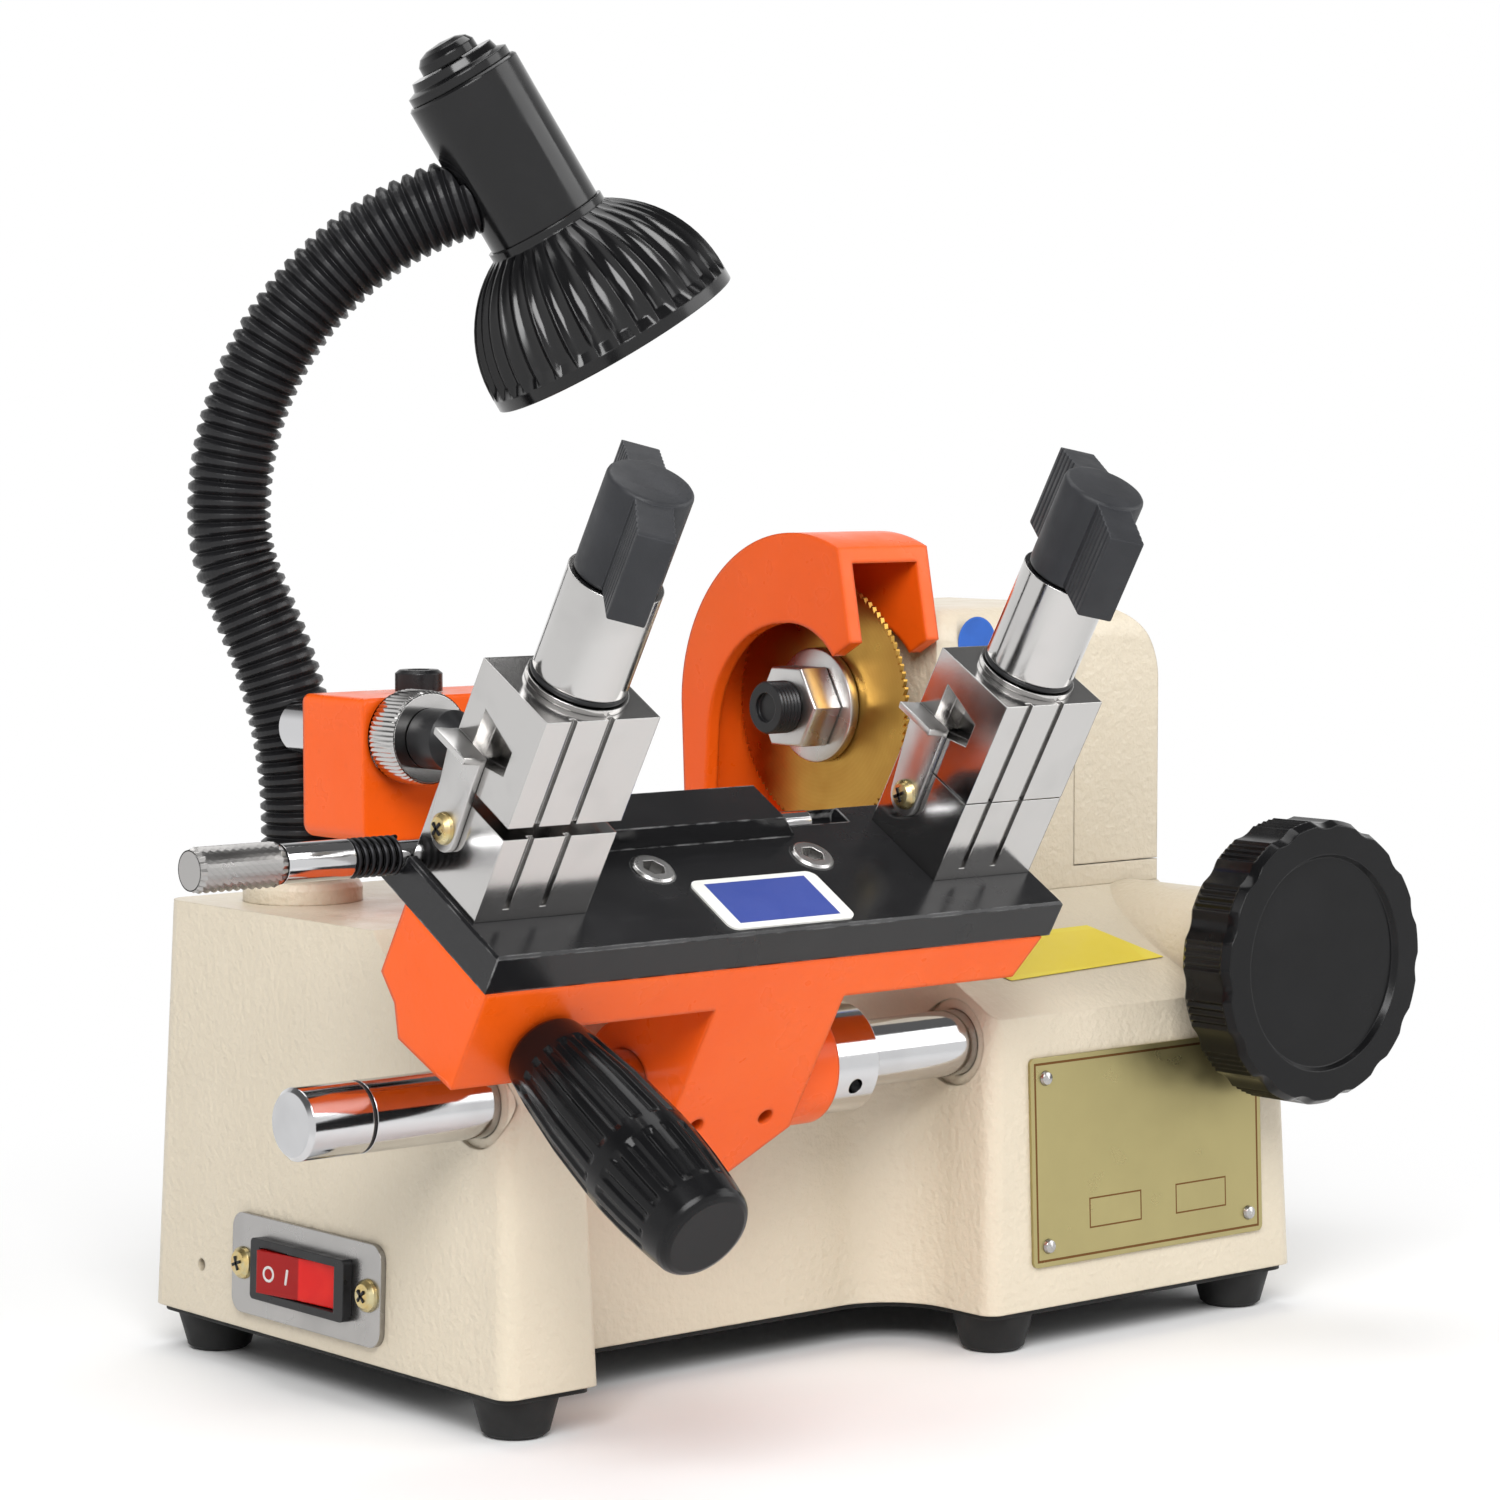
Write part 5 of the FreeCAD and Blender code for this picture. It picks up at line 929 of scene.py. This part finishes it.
def threaded_end():
    """The spindle's black end past the nut: fine threads and a socket."""
    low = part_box("spindle")[0]
    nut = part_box("cutter_nut")[0]
    centre = sum(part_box("cutter"), Vector()) / 2
    length = nut.x - low.x + STUB_PAST_SPINDLE
    bpy.ops.object.select_all(action="DESELECT")
    bpy.ops.mesh.primitive_cylinder_add(vertices=48, radius=STUB_RADIUS, depth=length, end_fill_type="NGON")
    stub = added("threaded_end")
    editing(stub)
    for row in range(1, STUB_ROWS):
        bpy.ops.mesh.select_all(action="SELECT")
        bpy.ops.mesh.bisect(plane_co=(0, 0, -length / 2 + length * row / STUB_ROWS), plane_no=(0, 0, 1))
    choose(stub, "verts", lambda co: round((co.z / length + 0.5) * STUB_ROWS) % 2 == 0)
    bpy.ops.transform.resize(value=(0.93, 0.93, 1), center_override=(0, 0, 0))
    choose(stub, "faces", lambda c, n: n.z > 0.9 and c.z > length / 2 - 0.01 * MM)
    bpy.ops.mesh.inset(thickness=2.4 * MM)
    bpy.ops.mesh.extrude_region_move(TRANSFORM_OT_translate={"value": (0, 0, -1.1 * MM)})
    done(stub)
    turned_to(stub, (nut.x - length / 2, centre.y, centre.z), (-1, 0, 0))
    return settled(stub, "spindle", satin, 20)


# Stickers

def slope_sticker():
    """Pale yellow paper stuck askew on the right block's slope."""
    bpy.ops.object.select_all(action="DESELECT")
    bpy.ops.mesh.primitive_plane_add(size=1)
    sticker = added("slope_sticker")
    spots = [Vector(p) * MM + base_low for p in ((163.0, 17.2, 78.5), (218.0, 19.6, 79.7),
                                               (150.0, 33.5, 86.4), (205.5, 34.4, 87.3))]
    for vertex, spot in zip(sticker.data.vertices, spots):
        vertex.co = spot
    editing(sticker)
    bpy.ops.mesh.select_all(action="SELECT")
    bpy.ops.mesh.subdivide(number_cuts=12)
    bpy.ops.mesh.normals_make_consistent(inside=False)
    done(sticker)
    applied(sticker, "SHRINKWRAP", target=nodes["base_casting"], wrap_method="PROJECT", use_project_z=True,
            use_negative_direction=True, use_positive_direction=True, offset=0.25 * MM)
    applied(sticker, "SOLIDIFY", thickness=0.15 * MM, offset=1)
    lo = Vector([min(v.co[i] for v in sticker.data.vertices) for i in range(3)])
    hi = Vector([max(v.co[i] for v in sticker.data.vertices) for i in range(3)])
    paper = paper_label("yellow_paper", (0.80, 0.66, 0.06), (0.78, 0.62, 0.05), (lo, hi))
    return settled(sticker, "base", paper)


def round_sticker():
    """A small blue round mark on the head's front face."""
    low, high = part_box("spindle_head")
    bpy.ops.object.select_all(action="DESELECT")
    bpy.ops.mesh.primitive_circle_add(vertices=40, radius=6.4 * MM, fill_type="NGON",
                                      rotation=(math.pi / 2, 0, 0),
                                      location=(low.x + 13.6 * MM, low.y - 0.12 * MM, high.z - 8.3 * MM))
    sticker = added("round_sticker")
    bpy.ops.object.transform_apply(location=True, rotation=True)
    applied(sticker, "SOLIDIFY", thickness=0.1 * MM, offset=0)
    blue = moulded_plastic("blue_sticker", (0.02, 0.10, 0.42), 0.35, 0.01)
    return settled(sticker, "base", blue)


def rocker_mark(name, ring, side):
    """A printed ring or bar on one half of the rocker's face."""
    low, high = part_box("switch_rocker")
    middle = (low + high) / 2
    start = Vector((low.x - 10 * MM, middle.y + side * (high.y - low.y), middle.z))
    _, spot, normal, _ = nodes["switch_rocker"].ray_cast(start, Vector((1, 0, 0)))
    bpy.ops.object.select_all(action="DESELECT")
    if ring:
        bpy.ops.mesh.primitive_torus_add(major_segments=32, minor_segments=8, major_radius=1.6 * MM,
                                         minor_radius=0.34 * MM)
    else:
        bpy.ops.mesh.primitive_cube_add(size=1)
    mark = added(name)
    if not ring:
        mark.scale = (3.8 * MM, 0.75 * MM, 0.8 * MM)
        bpy.ops.object.transform_apply(scale=True)
        applied(mark, "BEVEL", width=0.3 * MM, segments=3)
    editing(mark)
    bpy.ops.mesh.select_all(action="SELECT")
    bpy.ops.transform.resize(value=(1, 1, 0.3), center_override=(0, 0, 0))
    done(mark)
    turned_to(mark, spot + normal * 0.02 * MM, normal)
    return settled(mark, "rocker", mark_white)


ribbed_neck()
coil_spring()
knurled("knurled_tracer_ring", "tracer_ring", "Y", 60, 0.45 * MM, 1.4 * MM, "ring", nickel)
knurled("knurled_gauge_knob", "gauge_knob", "X", 18, 0.75 * MM, 1.6 * MM, "gauge", knurl_nickel, rows=19)
winged_knob("left_winged_knob", "left_knob", "left_knob_turn", "left_grip", math.radians(-120))
winged_knob("right_winged_knob", "right_knob", "right_knob_turn", "right_grip", math.radians(-114))
sleeve_ring("left_sleeve_ring", "left_knob_sleeve", "left_knob_turn", "left_grip")
sleeve_ring("right_sleeve_ring", "right_knob_sleeve", "right_knob_turn", "right_grip")
screw_crosses("switch_screw_cross", "switch_screws", 1, "base")
screw_crosses("strap_screw_cross", "strap_screws", 0, "carriage")
clamp_straps()
spindle_nut()
spindle_washer()
threaded_end()
scalloped_wheel()
fluted_shade()
shaft_groove_shade()
slope_sticker()
round_sticker()
mark_white = moulded_plastic("white_print", (0.62, 0.60, 0.58), 0.4, 0.01)
rocker_mark("rocker_ring_mark", True, 0.33)
rocker_mark("rocker_bar_mark", False, 0.13)


# Studio

def seen_rays(tree):
    """One for the rays that show the backdrop: camera, mirrored and through glass."""
    path = tree.nodes.new("ShaderNodeLightPath")
    value = path.outputs["Is Camera Ray"]
    for name in ("Is Glossy Ray", "Is Transmission Ray"):
        most = tree.nodes.new("ShaderNodeMath")
        most.operation = "MAXIMUM"
        tree.links.new(value, most.inputs[0])
        tree.links.new(path.outputs[name], most.inputs[1])
        value = most.outputs["Value"]
    return value


def floor():
    bpy.ops.object.select_all(action="DESELECT")
    bpy.ops.mesh.primitive_plane_add(size=12, location=(0, 0, -0.0002))
    ground = added("floor")
    pale = bpy.data.materials.new("pale_floor")
    pale.use_nodes = True
    tree = pale.node_tree
    shader = tree.nodes["Principled BSDF"]
    shader.inputs["Base Color"].default_value = (0.88, 0.88, 0.88, 1)
    shader.inputs["Roughness"].default_value = 0.7
    shader.inputs["Specular IOR Level"].default_value = 0.1
    # Away from the object the floor is as white as the backdrop
    place = tree.nodes.new("ShaderNodeTexCoord")
    far = tree.nodes.new("ShaderNodeVectorMath")
    far.operation = "LENGTH"
    tree.links.new(place.outputs["Object"], far.inputs[0])
    fade = tree.nodes.new("ShaderNodeMapRange")
    fade.interpolation_type = "SMOOTHSTEP"
    fade.inputs["From Min"].default_value = 0.16
    fade.inputs["From Max"].default_value = 0.42
    tree.links.new(far.outputs["Value"], fade.inputs["Value"])
    seen = tree.nodes.new("ShaderNodeMath")
    seen.operation = "MULTIPLY"
    tree.links.new(fade.outputs["Result"], seen.inputs[0])
    tree.links.new(seen_rays(tree), seen.inputs[1])
    white = tree.nodes.new("ShaderNodeEmission")
    white.inputs["Color"].default_value = (1, 1, 1, 1)
    white.inputs["Strength"].default_value = 1.0
    mix = tree.nodes.new("ShaderNodeMixShader")
    tree.links.new(seen.outputs["Value"], mix.inputs["Fac"])
    tree.links.new(shader.outputs["BSDF"], mix.inputs[1])
    tree.links.new(white.outputs["Emission"], mix.inputs[2])
    tree.links.new(mix.outputs["Shader"], tree.nodes["Material Output"].inputs["Surface"])
    ground.data.materials.append(pale)


def area_light(name, place, aim, size, power, colour=(1, 1, 1)):
    data = bpy.data.lights.new(name, "AREA")
    data.shape = "RECTANGLE"
    data.size, data.size_y = size
    data.energy = power
    data.color = colour
    light = bpy.data.objects.new(name, data)
    bpy.context.scene.collection.objects.link(light)
    light.location = place
    light.rotation_mode = "QUATERNION"
    light.rotation_quaternion = (Vector(aim) - Vector(place)).to_track_quat("-Z", "Y")
    return light


def studio():
    world = bpy.data.worlds.new("studio_white")
    bpy.context.scene.world = world
    world.use_nodes = True
    tree = world.node_tree
    tree.nodes.clear()
    light = tree.nodes.new("ShaderNodeBackground")
    light.inputs["Color"].default_value = (1, 1, 1, 1)
    light.inputs["Strength"].default_value = 0.36
    white = tree.nodes.new("ShaderNodeBackground")
    white.inputs["Color"].default_value = (1, 1, 1, 1)
    # Mirrored from above, the backdrop darkens like a studio's ceiling
    split = tree.nodes.new("ShaderNodeSeparateXYZ")
    tree.links.new(tree.nodes.new("ShaderNodeTexCoord").outputs["Generated"], split.inputs["Vector"])
    ceiling = tree.nodes.new("ShaderNodeMapRange")
    ceiling.interpolation_type = "SMOOTHSTEP"
    for key, value in (("From Min", 0.25), ("From Max", 0.70), ("To Min", 1.0), ("To Max", 0.15)):
        ceiling.inputs[key].default_value = value
    tree.links.new(split.outputs["Z"], ceiling.inputs["Value"])
    direct = tree.nodes.new("ShaderNodeMath")
    direct.operation = "MAXIMUM"
    tree.links.new(tree.nodes.new("ShaderNodeLightPath").outputs["Is Camera Ray"], direct.inputs[0])
    tree.links.new(ceiling.outputs["Result"], direct.inputs[1])
    tree.links.new(direct.outputs["Value"], white.inputs["Strength"])
    mix = tree.nodes.new("ShaderNodeMixShader")
    out = tree.nodes.new("ShaderNodeOutputWorld")
    tree.links.new(seen_rays(tree), mix.inputs["Fac"])
    tree.links.new(light.outputs["Background"], mix.inputs[1])
    tree.links.new(white.outputs["Background"], mix.inputs[2])
    tree.links.new(mix.outputs["Shader"], out.inputs["Surface"])
    aim = (0, 0, 0.13)
    area_light("key", (-0.75, -0.85, 0.95), aim, (0.8, 0.7), 19)
    area_light("fill", (1.0, -0.8, 0.70), aim, (0.9, 0.9), 6)
    area_light("top", (0.1, 0.35, 1.3), aim, (1.0, 0.8), 7)


def photo_camera():
    data = bpy.data.cameras.new("photo_camera")
    data.sensor_width = 36.0
    data.lens = data.sensor_width * FOCAL_PIXELS / PHOTO_SIZE
    camera = bpy.data.objects.new("photo_camera", data)
    bpy.context.scene.collection.objects.link(camera)
    camera.location = base_low + CAMERA_FROM_BASE
    level = math.cos(CAMERA_PITCH)
    ahead = Vector((math.sin(CAMERA_YAW) * level, math.cos(CAMERA_YAW) * level, -math.sin(CAMERA_PITCH)))
    camera.rotation_mode = "QUATERNION"
    camera.rotation_quaternion = ahead.to_track_quat("-Z", "Y")
    data.clip_start, data.clip_end = 0.01, 50
    bpy.context.scene.camera = camera


floor()
studio()
photo_camera()
bpy.context.scene.view_settings.view_transform = "Standard"
